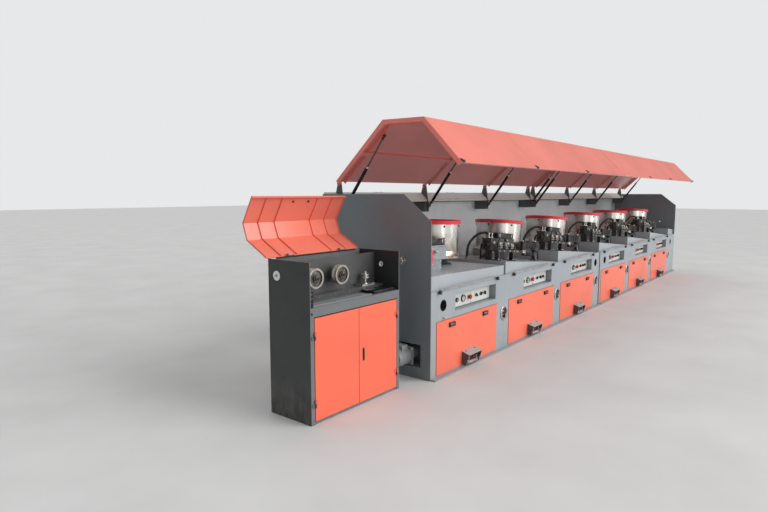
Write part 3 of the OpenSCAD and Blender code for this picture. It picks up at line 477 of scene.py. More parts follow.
def die_box_steel(name, paint):
    """Oiled black steel, but grey paint on the first unit's box."""
    f = Finish(name, Metallic=0.0, Coat_Weight=0.15, Coat_Roughness=0.3)
    second = (TO_FRAME @ Vector((UNITS[1], 0, 0))).x
    black = f.spread(f.along(), second - 0.02, second - 0.01)
    film = f.spread(f.noise(22.0, 5.0), 0.40, 0.66)
    steel = f.blend(film, (0.022, 0.022, 0.024, 1), (0.060, 0.058, 0.056, 1))
    grey = f.blend(film, tone(paint, 0.70), tone(paint, 0.95))
    rounded, edge = f.edges(0.0025)
    base = f.blend(black, grey, steel)
    rubbed = f.times(edge, f.spread(f.noise(60.0, 3.0), 0.40, 0.62, 0.1, 0.8))
    base = f.blend(rubbed, base, (0.30, 0.28, 0.26, 1))
    soap = f.spread(f.noise(34.0, 6.0), 0.62, 0.74, 0.0, 0.45)
    base = f.blend(soap, base, (0.20, 0.18, 0.15, 1))
    f.wear(Base_Color=base, Roughness=f.spread(film, 0.0, 1.0, 0.28, 0.50),
           Normal=f.bumps(f.noise(160.0, 4.0), 0.0004, rounded))
    return f.material


def wound_block(unit, rim_colour):
    """A drawing block: ground barrel with wire marks, crimson rim and a sooty cup."""
    f = Finish(f"block_finish_{unit + 1}", Anisotropic=0.3)
    foot = TO_FRAME @ on_slope(unit)
    axis = foot.to_3x3() @ UP
    height = f.calc("SUBTRACT", f.vector("DOT_PRODUCT", f.place, axis),
                    foot.translation.dot(axis))
    away = f.vector("CROSS_PRODUCT", f.vector("SUBTRACT", f.place, foot.translation), axis)
    radius = f.vector("LENGTH", away)
    round_it = f.vector("NORMALIZE", away)
    rim = f.spread(height, BLOCK_TOP - RIM_H - 0.0016, BLOCK_TOP - RIM_H - 0.0004)
    inside = f.spread(radius, BARREL_R - BARREL_WALL, BARREL_R - BARREL_WALL - 0.0005)
    rings = f.add("ShaderNodeTexNoise", {"W": height, "Scale": 520.0, "Detail": 3.0},
                  noise_dimensions="1D").outputs["Fac"]
    bands = f.add("ShaderNodeTexNoise", {"Vector": round_it, "Scale": 4.2, "Detail": 4.0,
                                         "Roughness": 0.6}).outputs["Fac"]
    steel = f.blend(f.spread(rings, 0.35, 0.65), (0.58, 0.57, 0.55, 1), (0.70, 0.69, 0.66, 1))
    steel = f.blend(f.spread(bands, 0.52, 0.70, 0.0, 0.7), steel, (0.33, 0.315, 0.295, 1))
    worn = f.times(f.spread(height, *WIRE_MARKS_Z), f.spread(f.noise(9.0, 5.0, (1, 1, 0.6)),
                                                            0.40, 0.62, 0.15, 0.85))
    steel = f.blend(worn, steel, (0.30, 0.235, 0.19, 1))
    cup = f.blend(f.spread(f.noise(12.0, 5.0), 0.35, 0.7), (0.060, 0.058, 0.056, 1),
                  (0.14, 0.13, 0.12, 1))
    rounded, edge = f.edges(0.0025)
    paint = f.blend(f.times(edge, f.spread(f.noise(50.0, 4.0), 0.48, 0.60, 0.0, 0.8)),
                    f.blend(f.spread(f.noise(6.0, 4.0), 0.35, 0.7), tone(rim_colour, 0.88),
                            tone(rim_colour, 1.08)), (0.45, 0.43, 0.42, 1))
    base = f.blend(inside, f.blend(rim, steel, paint), f.blend(rim, cup, paint))
    bare = f.calc("SUBTRACT", 1.0, rim)
    f.wear(Base_Color=base, Metallic=f.times(bare, 0.92),
           Roughness=f.spread(f.times(bare, f.spread(rings, 0.3, 0.7, 0.8, 1.0)), 0.0, 1.0,
                              0.36, 0.24),
           Normal=f.bumps(f.times(bare, rings), 0.00012, rounded))
    return f.material


def worn_pulley(name, centre):
    """A steel pulley that the wire has polished on its rim, dark between rim and hub."""
    f = Finish(name, Metallic=0.85)
    offset = f.vector("SUBTRACT", f.place, TO_FRAME @ centre)
    radius = f.vector("LENGTH", f.vector("MULTIPLY", offset, OUTLET + UP))
    soot = f.spread(f.noise(30.0, 5.0), 0.36, 0.68)
    dark = f.blend(soot, (0.070, 0.066, 0.062, 1), (0.20, 0.185, 0.17, 1))
    pale = f.blend(soot, (0.50, 0.48, 0.44, 1), (0.34, 0.315, 0.28, 1))
    polished = f.spread(radius, PULLEY_R * 0.79, PULLEY_R * 0.82)
    hub = f.spread(radius, 0.017, 0.016)
    base = f.blend(hub, f.blend(polished, dark, pale), pale)
    rounded = f.edges(0.0012)[0]
    f.wear(Base_Color=base, Roughness=f.spread(f.noise(40.0, 3.0), 0.3, 0.7, 0.26, 0.46),
           Normal=f.bumps(f.noise(200.0, 3.0), 0.00015, rounded))
    return f.material


def meter_glass():
    f = Finish("meter_glass_finish", Transmission_Weight=1.0, Roughness=0.03, IOR=1.45,
               Base_Color=(0.96, 0.98, 0.98, 1))
    f.wear(Normal=f.bumps(f.noise(30.0, 1.0), 0.00002))
    return f.material


def floor_finish():
    """Pale ground that the camera sees as it is written."""
    f = Finish("pale_ground", Roughness=0.75, Specular_IOR_Level=0.15)
    f.wear(Base_Color=f.blend(f.spread(f.noise(1.3, 5.0), 0.3, 0.7), (0.60, 0.60, 0.59, 1),
                              (0.66, 0.66, 0.65, 1)))
    return f.material


# Every finish by its key, filled by the first step
FINISHES = {}


# Sizes and colours a user would change


def paint_colour(name, description, *rgb):
    return FloatVectorProperty(name=name, description=description, default=(*rgb, 1), size=4,
                               min=0, max=1, subtype="COLOR")


def fitting_size(name, description, default, low, high):
    return FloatProperty(name=name, description=description, default=default, min=low, max=high,
                         unit="LENGTH")


class PaintColours(bpy.types.PropertyGroup):
    grey: paint_colour("Grey", "Paint of the front sheets and posts", 0.345, 0.385, 0.410)
    deck: paint_colour("Deck", "Paint of the sloping decks, paled by use", 0.405, 0.440, 0.460)
    dark_grey: paint_colour("Dark grey",
                            "Paint of the end plates, brackets and the stand", 0.105, 0.112, 0.118)
    red: paint_colour("Red", "Paint of the doors, access panels and covers", 0.960, 0.185, 0.105)
    canopy: paint_colour("Canopy",
                         "Paint of the two canopies, paled by the roof light", 0.900, 0.255, 0.200)
    crimson: paint_colour("Crimson",
                          "Paint of the block rims and the grab handle", 0.860, 0.028, 0.047)
    beige: paint_colour("Beige", "Paint of the rear duct", 0.690, 0.720, 0.670)
    panel: paint_colour("Panel", "Face of the instrument plates", 0.700, 0.700, 0.660)


class FittingSizes(bpy.types.PropertyGroup):
    bolt: fitting_size("Bolt", "Thread size of the common bolts", 0.010, 0.006, 0.016)
    rim_screw: fitting_size("Rim screw",
                            "Thread size of the screws under a rim", 0.010, 0.006, 0.012)
    meter_r: fitting_size("Meter radius", "Radius of a dial's bezel", 0.033, 0.025, 0.036)
    button_r: fitting_size("Button radius", "Radius of a push button's ring", 0.017, 0.012, 0.020)
    scale_marks: IntProperty(name="Scale marks", description="Marks on a meter's scale",
                             default=21, min=11, max=41)
    pipe_r: fitting_size("Pipe radius", "Radius of the cooling pipes", 0.009, 0.006, 0.014)


class Step:
    """What every operator here shares."""
    bl_options = {"REGISTER", "UNDO"}


class WIRELINE_OT_finishes(Step, bpy.types.Operator):
    """Give every CAD node its paint, metal or plastic"""
    bl_idname = "wireline.finishes"
    bl_label = "Finishes"

    def execute(self, context):
        paint = context.scene.wireline_paint
        FINISHES.update({
            "grey": painted_steel("grey_paint_finish", paint.grey),
            "deck": painted_steel("deck_paint_finish", paint.deck, dust=0.0, chips=0.7),
            # The back wall is painted darker low on its front and towards the outlet: painted
            # shade
            "wall": painted_steel("wall_paint_finish", (0.800, 0.860, 0.870, 1), dust=0.0,
                                  soot=(0.86, 1.14)),
            "housing": painted_steel("housing_paint_finish", tone(paint.grey, 0.85)),
            "dark": painted_steel("dark_grey_paint_finish", paint.dark_grey),
            "end_plate": painted_steel("end_plate_paint_finish", (0.185, 0.212, 0.226, 1),
                                       gloss=0.50),
            # The stand's sides are painted darker than the rest of it: painted shade
            "stand": painted_steel("stand_paint_finish", (0.150, 0.163, 0.170, 1), sides=0.17),
            "stand_back": painted_steel("stand_back_paint_finish", (0.160, 0.172, 0.180, 1)),
            # The tray's near-black tone is partly its own dark paint and partly painted shade of
            # the bay under the cover
            "tray": painted_steel("tray_paint_finish", (0.070, 0.070, 0.072, 1)),
            "slat": painted_steel("slat_paint_finish", (0.180, 0.188, 0.192, 1), chips=1.0),
            # The canopies' undersides and ribs get a duller colour: painted shade
            "canopy": painted_steel("canopy_paint_finish", paint.canopy, gloss=0.30, chips=0.0,
                                    grime=0.0, lining=(0.780, 0.330, 0.310, 1),
                                    round_edge=0.0008),
            "cover": painted_steel("cover_paint_finish", (0.900, 0.225, 0.155, 1), gloss=0.30,
                                   dust=0.0, chips=0.0, grime=0.0, round_edge=0.0008),
            "door": painted_steel("door_paint_finish", (0.960, 0.160, 0.082, 1), gloss=0.34,
                                  dust=0.10, chips=0.35, grime=0.10),
            # The pedal guards' sides are painted darker than the rest of them: painted shade
            "guard": painted_steel("guard_paint_finish", (0.380, 0.420, 0.430, 1), dust=0.0,
                                   chips=0.6, sides=0.22),
            "red": painted_steel("red_paint_finish", paint.red, gloss=0.34, dust=0.10, chips=0.35,
                                 grime=0.08),
            "crimson": painted_steel("crimson_paint_finish", paint.crimson, gloss=0.30),
            "beige": painted_steel("beige_paint_finish", paint.beige, dust=0.0),
            "panel": painted_steel("panel_face_finish", paint.panel, gloss=0.32, dust=0.0,
                                   chips=0.0),
            "steel": bare_steel("bright_steel_finish"),
            "plate": bare_steel("zinc_plate_finish", (0.47, 0.48, 0.48, 1), 0.40, (30, 1, 30)),
            "rod": bare_steel("strut_rod_finish", (0.150, 0.145, 0.140, 1), 0.32, (1, 1, 1), 0.3),
            "roller": bare_steel("guide_roller_finish", (0.34, 0.33, 0.31, 1), 0.34, (1, 1, 60)),
            "latch": bare_steel("latch_finish", (0.17, 0.175, 0.165, 1), 0.34, (1, 1, 1), 0.3),
            "screw": bare_steel("screw_finish", (0.58, 0.57, 0.54, 1), 0.26, (1, 1, 1), 0.25),
            "oiled": oiled_steel("black_steel_finish"),
            "dark_screw": oiled_steel("dark_screw_finish", (0.020, 0.020, 0.021, 1)),
            "plastic": moulded_plastic("black_plastic_finish", (0.016, 0.016, 0.017, 1)),
            "rubber": moulded_plastic("rubber_finish", (0.022, 0.021, 0.020, 1), 0.70),
            "motor": painted_steel("motor_paint_finish", (0.330, 0.350, 0.360, 1), 0.42),
            "die_box": die_box_steel("die_box_finish", paint.grey),
            "stop": moulded_plastic("stop_red_finish", (0.55, 0.015, 0.012, 1), 0.30),
            "white": moulded_plastic("dial_white_finish", (0.80, 0.80, 0.77, 1), 0.40),
            "brass": bare_steel("brass_finish", (0.30, 0.235, 0.14, 1), 0.34, (1, 1, 1)),
            "glass": meter_glass(),
        })
        worn = {
            "grey": ("front_band_near", "front_band_far", "front_posts", "foot_rails"),
            "deck": ("wedge_housings",),
            "wall": ("back_walls",),
            "housing": ("bed_near", "bed_far"),
            "dark": ("strut_brackets", "block_pedestals"),
            "guard": ("pedal_guards",),
            "end_plate": ("end_plate_infeed", "end_plate_outlet"),
            "stand": ("stand_walls", "stand_shelves"),
            "stand_back": ("stand_back",),
            "tray": ("stand_tray",),
            "red": ("access_panels", "rear_panels"),
            "cover": ("stand_cover",),
            "door": ("stand_door_left", "stand_door_right"),
            "canopy": ("canopy_near", "canopy_far"),
            "crimson": ("grab_handle",),
            "beige": ("rear_ducts",),
            "panel": ("instrument_panels",),
            "steel": ("port_cups", "wire_guides", "stand_rollers", "pedals"),
            "roller": ("guide_rollers",),
            "rod": ("strut_rods_near", "strut_rods_far"),
            "plate": ("rest_rails",),
            "die_box": ("die_boxes",),
            "oiled": ("guide_arms",),
            "plastic": ("rest_knobs", "panel_latches", "instruments"),
            "dark_screw": ("strut_cylinders_near", "strut_cylinders_far"),
            "motor": ("end_motor",),
        }
        for key, nodes in worn.items():
            for node in nodes:
                self.cover(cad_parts[node], FINISHES[key])
        for unit in range(len(UNITS)):
            self.cover(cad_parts[f"block_{unit + 1}"], wound_block(unit, paint.crimson))
        for name, x in zip(("pulley_first", "pulley_second"), PULLEYS):
            centre = Vector((x, PULLEY_Y, PULLEY_Z))
            self.cover(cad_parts[name], worn_pulley(f"{name}_finish", centre))
        return {"FINISHED"}

    @staticmethod
    def cover(node, material):
        node.data.materials.clear()
        node.data.materials.append(material)


class WIRELINE_OT_instruments(Step, bpy.types.Operator):
    """Meters, selector switches and stops on the instrument plates"""
    bl_idname = "wireline.instruments"
    bl_label = "Instruments"

    plate_in = 0.380
    plate_w = 0.367
    plate_gap = 0.006
    plate_y = 0.064
    height = 0.615
    meters = ((0.115, 0.62), (0.225, 1.0))
    stop = 0.332
    switches = (0.462, 0.552, 0.626)

    def spot(self, unit, along):
        return facing((UNITS[unit] + self.plate_in + along, self.plate_y, self.height), FRONT)

    def execute(self, context):
        size = context.scene.wireline_sizes
        rims, dials, marks, needles, glass = meshes(5)
        rings, stops, handles, screws = meshes(4)
        for unit in range(len(UNITS)):
            for which, (along, share) in enumerate(self.meters):
                self.meter(rims, dials, marks, needles, glass, self.spot(unit, along),
                           size.meter_r * share, size.scale_marks, (unit + which) % 3)
            for which, along in enumerate(self.switches):
                self.switch(rings, handles, self.spot(unit, along), size.button_r,
                            math.radians((38, -42, 8)[(unit + which) % 3]))
            place = self.spot(unit, self.stop)
            turned(rings, [(0.014, 0), (0.024, 0), (0.024, 0.003), (0.018, 0.006),
                           (0.014, 0.006)], place, 28)
            turned(stops, [(0, -0.001), (0.012, -0.001), (0.012, 0.014), (0.019, 0.015),
                           (0.0230, 0.018), (0.0230, 0.023), (0.0200, 0.028), (0.011, 0.0298),
                           (0, 0.030)], place, 32)
            for along in (0, self.plate_w + self.plate_gap):
                middle = self.spot(unit, along + self.plate_w / 2)
                for spot in corners(middle, self.plate_w / 2 - 0.010, 0.055):
                    socket_screw(screws, spot, 0.0045)
        piece("meter_rims", rims, "plastic", stands_for=["instruments"])
        piece("meter_dials", dials, "white")
        piece("meter_scales", marks, "plastic")
        piece("meter_needles", needles, "stop")
        piece("meter_glasses", glass, "glass")
        piece("switch_rings", rings, "screw")
        piece("switch_handles", handles, "plastic")
        piece("stop_buttons", stops, "stop")
        piece("plate_screws", screws, "screw")
        return {"FINISHED"}

    def meter(self, rims, dials, marks, needles, glass, place, r, count, reading):
        """A dial with its bezel, scale, needle and domed glass."""
        turned(rims, [(r - 0.005, 0.004), (r - 0.005, 0.012), (r - 0.002, 0.013),
                      (r, 0.010), (r, -0.001), (r - 0.005, -0.001)],
               place, 40)
        rod(dials, (0, 0, -0.001), (0, 0, 0.004), r - 0.0045, place, 40)
        turned(glass, [(0, 0.0098), (r - 0.0055, 0.0098), (r - 0.0055, 0.0108),
                       (r * 0.5, 0.0120), (0, 0.0124), (0, 0.0098)], place, 32)
        turn = place @ Matrix.Translation((0, -r * 0.28, 0))
        for i in range(count):
            mark = spun(turn, math.radians(50 - 100 * i / (count - 1)))
            long = i % 5 == 0
            wide = 0.0006 if long else 0.00035
            box(marks, (-wide, r * (0.78 if long else 0.86), 0.0039), (wide, r * 0.95, 0.0044),
                mark)
        turn = spun(turn, math.radians(-38 + 26 * reading))
        box(needles, (-0.0006, -0.004, 0.0048), (0.0006, r * 0.78, 0.0056), turn)
        rod(needles, (0, 0, 0.004), (0, 0, 0.0064), 0.0034, turn, 16)

    @staticmethod
    def switch(rings, handles, place, r, angle):
        """A selector switch: a ring, a round body and a wing to turn it by."""
        turned(rings, [(r - 0.003, 0), (r + 0.001, 0), (r + 0.001, 0.003), (r - 0.001, 0.005),
                       (r - 0.003, 0.005)], place, 28)
        turned(handles, [(0, -0.001), (r - 0.003, -0.001), (r - 0.003, 0.009),
                         (r - 0.005, 0.011), (0, 0.011)], place, 28)
        wing = spun(place, angle)
        box(handles, (-0.0055, -r - 0.001, 0.008), (0.0055, r + 0.001, 0.024), wing, 0.002)


class WIRELINE_OT_front(Step, bpy.types.Operator):
    """Latches, port screws, pedal treads and small parts on the operator's side"""
    bl_idname = "wireline.front"
    bl_label = "Front fittings"

    latch_frame = (((-0.046, -0.020, -0.001), (0.046, 0.020, 0.006)),
                   ((-0.046, 0.012, 0.005), (0.046, 0.020, 0.015)),
                   ((-0.046, -0.020, 0.005), (-0.036, 0.014, 0.013)),
                   ((0.036, -0.020, 0.005), (0.046, 0.014, 0.013)))
    panel_y = -0.004
    port_z = 0.370
    pedal_in = 0.490
    pedal_w = 0.240
    pedal_pin = (-0.045, 0.085)
    knobs_in = (0.100, 1.136)

    def execute(self, context):
        self.latches()
        self.ports()
        self.pedals()
        self.rails()
        self.lifting_hole_shade()
        return {"FINISHED"}

    def latches(self):
        bodies, paddles, locks = meshes(3)
        for unit in range(len(UNITS)):
            x0, x1 = panel_span(unit)
            for x in (x0 + LATCH_IN, x1 - LATCH_IN):
                place = facing((x, self.panel_y, LATCH_Z), FRONT)
                for low, high in self.latch_frame:
                    box(bodies, low, high, place, 0.002)
                tip = place @ Matrix.Translation((0, 0.012, 0.006)) @ Matrix.Rotation(
                    math.radians(-14), 4, "X")
                box(paddles, (-0.033, -0.016, 0.001), (0.033, -0.001, 0.006), tip, 0.0015)
                box(bodies, (-0.033, -0.030, 0.000), (0.033, -0.017, 0.005), tip, 0.0015)
                lock = place @ Matrix.Translation((0.012, -0.006, 0.009))
                turned(locks, [(0, 0.0025), (0.0015, 0.0025), (0.0015, 0.005), (0.0055, 0.005),
                               (0.0065, 0.004), (0.0065, -0.003), (0, -0.003)], lock, 20)
        piece("latch_bodies", bodies, "plastic", stands_for=["panel_latches"])
        piece("latch_paddles", paddles, "latch")
        piece("latch_locks", locks, "screw")

    def ports(self):
        """Flange screws, and a nut and split pin on the shaft end in each round port."""
        screws, ends = meshes(2)
        for x0 in UNITS:
            x = x0 + PORT_IN
            for spot in ring_of(facing((x, -0.010, self.port_z), FRONT), 0.0685, 6, 0.3):
                bolt(screws, spot, 0.006)
            inner = facing((x, -0.004, self.port_z), FRONT)
            rod(ends, (0, 0, -0.014), (0, 0, 0.001), 0.0145, inner, 6)
            rod(ends, (0, 0, 0.001), (0, 0, 0.006), 0.0085, inner, 20, 0.0075)
            rod(ends, (-0.011, 0, 0.003), (0.011, 0, 0.003), 0.0013, inner, 8)
            for spot in ring_of(facing((x, 0.012, self.port_z), FRONT), 0.0235, 4, 0.5):
                socket_screw(ends, spot, 0.0045)
        piece("port_screws", screws, "screw")
        piece("port_shaft_nuts", ends, "dark_screw")

    def pedals(self):
        """Tread bars, the pedal's toe plate, pin and ears, and the screws of its hood."""
        treads, pins = meshes(2)
        slope = facing((0, 0, 0), (0, -0.324, 0.946))
        for x0 in UNITS:
            x, middle = x0 + self.pedal_in, x0 + self.pedal_in + self.pedal_w / 2
            box(treads, (x + 0.030, -0.0505, 0.0400), (x + 0.210, -0.0480, 0.0720), bevel=0.0008)
            box(treads, (x + 0.030, -0.0780, 0.0700), (x + 0.210, -0.0480, 0.0730), bevel=0.0008)
            for i in range(5):
                y = -0.012 - 0.0085 * i
                z = 0.0528 - 0.00136 * i
                box(treads, (x + 0.046, y - 0.002, z - 0.003), (x + 0.194, y + 0.002, z + 0.003),
                    bevel=0.0008)
            pin = Vector((middle, *self.pedal_pin))
            reach = OUTLET * (self.pedal_w / 2 + 0.005)
            rod(pins, pin - reach, pin + reach, 0.006, sides=16)
            for side in (-1, 1):
                out = OUTLET * side
                bolt(pins, facing(pin + out * (self.pedal_w / 2 + 0.001), out), 0.007)
                ear = middle + side * 0.066
                box(treads, (ear - 0.003, -0.053, 0.043), (ear + 0.003, -0.036, 0.092),
                    bevel=0.001)
            for dx in (0.040, self.pedal_w - 0.040):
                bolt(pins, Matrix.Translation((x + dx, -0.022, 0.1440)) @ slope, 0.006)
        piece("pedal_treads", treads, "screw")
        piece("pedal_pins", pins, "dark_screw")

    def rails(self):
        """Screws along the rest rails, and the release knob over the first panel."""
        screws, knob = meshes(2)
        for x0 in UNITS:
            for i in range(5):
                x = x0 + 0.170 + i * 0.224
                socket_screw(screws, facing((x, -0.008, LEDGE_Z), FRONT), 0.005)
            for along in self.knobs_in:
                socket_screw(screws, facing((x0 + along, -0.030, DECK_Z - 0.0085), FRONT), 0.0065)
        turned(knob, [(0, -0.001), (0.009, -0.001), (0.009, 0.006), (0.006, 0.008),
                      (0.006, 0.014), (0.011, 0.017), (0.011, 0.024), (0.008, 0.027), (0, 0.027)],
               facing((UNITS[0] + 0.178, 0, 0.512), FRONT), 24)
        piece("rail_screws", screws, "screw")
        piece("panel_release_knob", knob, "steel")

    def lifting_hole_shade(self):
        """A dark tube and a plug in each lifting hole: painted shade of the hole's inside."""
        tubes = bmesh.new()
        for x in LIFTING_HOLES:
            turned(tubes, [(0, -0.0675), (0.0498, -0.0675), (0.0498, 0.0012), (0.0462, 0.0012),
                           (0.0462, -0.0630), (0, -0.0630)],
                   facing((x, 0, 0.620), FRONT), 48)
        piece("hole_shade_tubes", tubes, "rubber", slot="black_steel")


class WIRELINE_OT_blocks(Step, bpy.types.Operator):
    """Screws, hub flange and spokes of each drawing block"""
    bl_idname = "wireline.blocks"
    bl_label = "Drawing blocks"

    def execute(self, context):
        size = context.scene.wireline_sizes
        feet = bmesh.new()
        for unit in range(len(UNITS)):
            place = on_slope(unit)
            dark, bright = meshes(2)
            for i in range(6):
                angle = math.tau * i / 6
                out = Vector((math.cos(angle), math.sin(angle), 0))
                point = out * BARREL_R + UP * (BLOCK_TOP - RIM_H - 0.020)
                bolt(dark, place @ facing(point, out), size.rim_screw)
            for spot in ring_of(raised(place, CUP_FLOOR), 0.105, 8):
                bolt(bright, spot, 0.012)
            hub = raised(place, CUP_FLOOR + 0.060)
            turned(bright, [(0, 0.030), (0.018, 0.030), (0.022, 0.026), (0.022, 0.004),
                            (0.040, 0.004), (0.044, 0), (0.044, -0.001), (0, -0.001)], hub, 32)
            for spot in ring_of(raised(hub, 0.004), 0.032, 6):
                socket_screw(bright, spot, 0.006)
            for i in range(4):
                turn = spun(place, math.tau * (i + 0.5) / 4)
                box(dark, (0.070, -0.007, CUP_FLOOR - 0.001), (0.2395, 0.007, CUP_FLOOR + 0.042),
                    turn, 0.002)
            piece(f"block_{unit + 1}_dark_parts", dark, "dark_screw", f"block_{unit + 1}")
            piece(f"block_{unit + 1}_hub", bright, "screw", f"block_{unit + 1}")
            for spot in ring_of(raised(place, 0.022), 0.185, 10, 0.2):
                bolt(feet, spot, 0.012)
        piece("pedestal_bolts", feet, "dark_screw")
        return {"FINISHED"}


class WIRELINE_OT_drawing_gear(Step, bpy.types.Operator):
    """Die box fittings, guide roller nuts, bow arms and pipes before the blocks"""
    bl_idname = "wireline.drawing_gear"
    bl_label = "Drawing gear"

    clamps_in = (0.070, 0.230, 0.390)
    lid_screws_in = (0.080, 0.150)
    tall_in = 0.205
    tall_z = 0.290
    bar_z = 0.283
    clamp_z = 0.182
    pipe_z = 0.185
    damper_y = -0.004
    damper_z = 0.072
    web = (0.134, 0.204)
    last_roller = Vector((0.470, BEAM_Y, 0.150))
    post = Vector((0.302, -0.334, 0))
    head = Vector((-0.085, -0.356, 0))

    def execute(self, context):
        size = context.scene.wireline_sizes
        bright, dark, pipes, brass = meshes(4)
        for unit in range(len(UNITS)):
            place = on_slope(unit) @ Matrix.Translation((-FOOT_IN[unit], 0, 0))
            end = FOOT_IN[unit] + DIE_X1
            self.die_box(bright, dark, place, end)
            self.clamps(bright, brass, place)
            self.cooling(pipes, brass, place, end, size.pipe_r)
            if unit in GUIDED:
                self.guides(bright, dark, place)
                self.tension_arm(bright, dark, pipes, on_slope(unit))
        piece("gear_bolts", bright, "screw")
        piece("gear_castings", dark, "oiled")
        piece("gear_pipes", pipes, "rubber")
        piece("gear_brass", brass, "brass")
        return {"FINISHED"}

    def die_box(self, bright, dark, place, end):
        """Wire inlet, tall wire exit housing, lid bolts and the die holder's flange."""
        turned(dark, [(0.009, -0.001), (0.034, -0.001), (0.034, 0.008), (0.022, 0.018),
                      (0.014, 0.018), (0.009, 0.008)],
               place @ facing((DIE_IN, DIE_Y, DIE_AXIS_Z), INFEED), 28)
        tall_end = end - 0.012
        low = DIE_TOP - 0.001
        box(dark, (self.tall_in, DIE_Y - 0.042, low), (tall_end, DIE_Y + 0.042, self.tall_z),
            place, 0.003)
        box(dark, (self.tall_in - 0.004, DIE_Y - 0.046, self.tall_z - 0.0005),
            (tall_end + 0.004, DIE_Y + 0.046, self.tall_z + 0.007), place, 0.002)
        for x in (self.tall_in + 0.040, tall_end - 0.040):
            rod(bright, (x - 0.016, DIE_Y - 0.046, self.tall_z - 0.004),
                (x + 0.016, DIE_Y - 0.046, self.tall_z - 0.004), 0.005, place, 14)
            box(bright, (x - 0.009, DIE_Y - 0.0455, 0.250), (x + 0.009, DIE_Y - 0.041, 0.282),
                place, 0.0015)
        for x in (DIE_IN + 0.018, end - 0.002):
            for dy in (-0.040, 0.040):
                bolt(bright, place @ facing((x, DIE_Y + dy, DIE_TOP), UP), 0.009)
        for x in self.lid_screws_in:
            rod(bright, (x, DIE_Y, DIE_TOP - 0.001), (x, DIE_Y, 0.290), 0.0065, place, 16)
            rod(bright, (x, DIE_Y, DIE_TOP), (x, DIE_Y, DIE_TOP + 0.012), 0.014, place, 6)
            rod(bright, (x - 0.028, DIE_Y, self.bar_z), (x + 0.028, DIE_Y, self.bar_z), 0.0045,
                place, 12)
            for side in (-1, 1):
                rod(dark, (x + side * 0.028, DIE_Y, self.bar_z),
                    (x + side * 0.042, DIE_Y, self.bar_z), 0.0085, place, 16, 0.0070)
        flange = place @ facing((end, DIE_Y, DIE_AXIS_Z), OUTLET)
        turned(dark, [(0.010, -0.001), (0.036, -0.001), (0.036, 0.007), (0.024, 0.012),
                      (0.010, 0.014)], flange, 32)
        for spot in ring_of(raised(flange, 0.007), 0.0305, 6):
            bolt(bright, spot, 0.005)
        for x in (DIE_IN + 0.075, end - 0.075):
            for z in (0.020, 0.085):
                bolt(bright, place @ facing((x, DIE_Y - 0.040, z), FRONT), 0.009)

    def clamps(self, bright, brass, place):
        """Three clamp knobs along the die box's front, each on its own spindle."""
        for x in self.clamps_in:
            spot = place @ facing((x, DIE_Y - DIE_HALF, self.clamp_z), FRONT)
            turned(bright, [(0, -0.001), (0.015, -0.001), (0.015, 0.003), (0.0075, 0.006),
                            (0.0075, 0.012), (0.0165, 0.015), (0.0185, 0.020), (0.0185, 0.026),
                            (0.0150, 0.030), (0, 0.031)], spot, 24)
            for side in (-1, 1):
                rod(brass, (side * 0.017, 0, 0.022), (side * 0.030, 0, 0.022), 0.0035, spot, 10)

    def cooling(self, pipes, brass, place, end, radius):
        """A thick pipe up from the deck into the lid, and two thin ones behind the box."""
        bent_tube(pipes, [(0.012, -0.050, -0.002), (0.012, -0.050, 0.090), (0.016, -0.054, 0.135),
                          (0.030, -0.070, 0.185), (0.055, -0.096, 0.232), (0.085, -0.126, 0.266),
                          (0.112, -0.152, 0.284), (0.140, -0.182, 0.290), (0.163, -0.206, 0.281),
                          (0.177, -0.222, 0.262), (0.182, -0.228, 0.233)], radius * 1.5, place)
        rod(brass, (0.012, -0.050, -0.001), (0.012, -0.050, 0.020), radius * 2.0, place, 6)
        rod(brass, (0.182, -0.228, 0.232), (0.182, -0.228, 0.246), radius * 1.9, place, 6)
        rear, z = DIE_Y + DIE_HALF, self.pipe_z
        down = rear + 0.072
        for x in (DIE_IN + 0.110, end - 0.110):
            rod(brass, (x, rear - 0.002, z), (x, rear + 0.020, z), radius * 1.3, place, 6)
            bent_tube(pipes, [(x, rear + 0.012, z), (x, rear + 0.036, z - 0.001),
                              (x, rear + 0.056, z - 0.010), (x, rear + 0.068, z - 0.030),
                              (x, down, 0.130), (x, down, 0.060), (x, down, -0.002)],
                      radius, place)
            rod(brass, (x, down, -0.001), (x, down, 0.016), radius * 1.4, place, 6)

    def tension_arm(self, bright, dark, pipes, place):
        """A post past the block, its arm along the block's front, a sheave and a damper."""
        post = place @ Matrix.Translation(self.post)
        turned(dark, [(0, -0.001), (0.058, -0.001), (0.058, 0.010), (0.036, 0.016),
                      (0.030, 0.026), (0.030, 0.108), (0.045, 0.116), (0.045, 0.214),
                      (0.036, 0.224), (0, 0.224)], post, 32)
        for spot in ring_of(raised(post, 0.010), 0.047, 6):
            bolt(bright, spot, 0.007)
        bolt(bright, raised(post, 0.224), 0.014)
        reach = self.head - self.post
        turn = spun(post, math.atan2(reach.y, reach.x))
        tip = reach.length
        low, high = self.web
        box(dark, (0.034, -0.012, low), (tip, 0.012, high), turn, 0.004)
        for z in (low - 0.008, high - 0.004):
            box(dark, (0.030, -0.022, z), (tip + 0.004, 0.022, z + 0.012), turn, 0.003)
        for i in range(3):
            x = 0.110 + i * 0.085
            box(dark, (x - 0.005, -0.020, low), (x + 0.005, 0.020, high), turn, 0.002)
        rod(dark, (tip, 0, 0.088), (tip, 0, 0.222), 0.026, turn, 24)
        turned(bright, [(0.020, 0.088), (0.044, 0.088), (0.044, 0.094), (0.036, 0.103),
                        (0.044, 0.112), (0.044, 0.118), (0.020, 0.118)],
               turn @ Matrix.Translation((tip, 0, 0)), 32)
        bolt(bright, turn @ Matrix.Translation((tip, 0, 0.222)), 0.012)
        y, z = self.damper_y, self.damper_z
        rod(dark, (0.045, y, z), (0.245, y, z), 0.021, turn, 24)
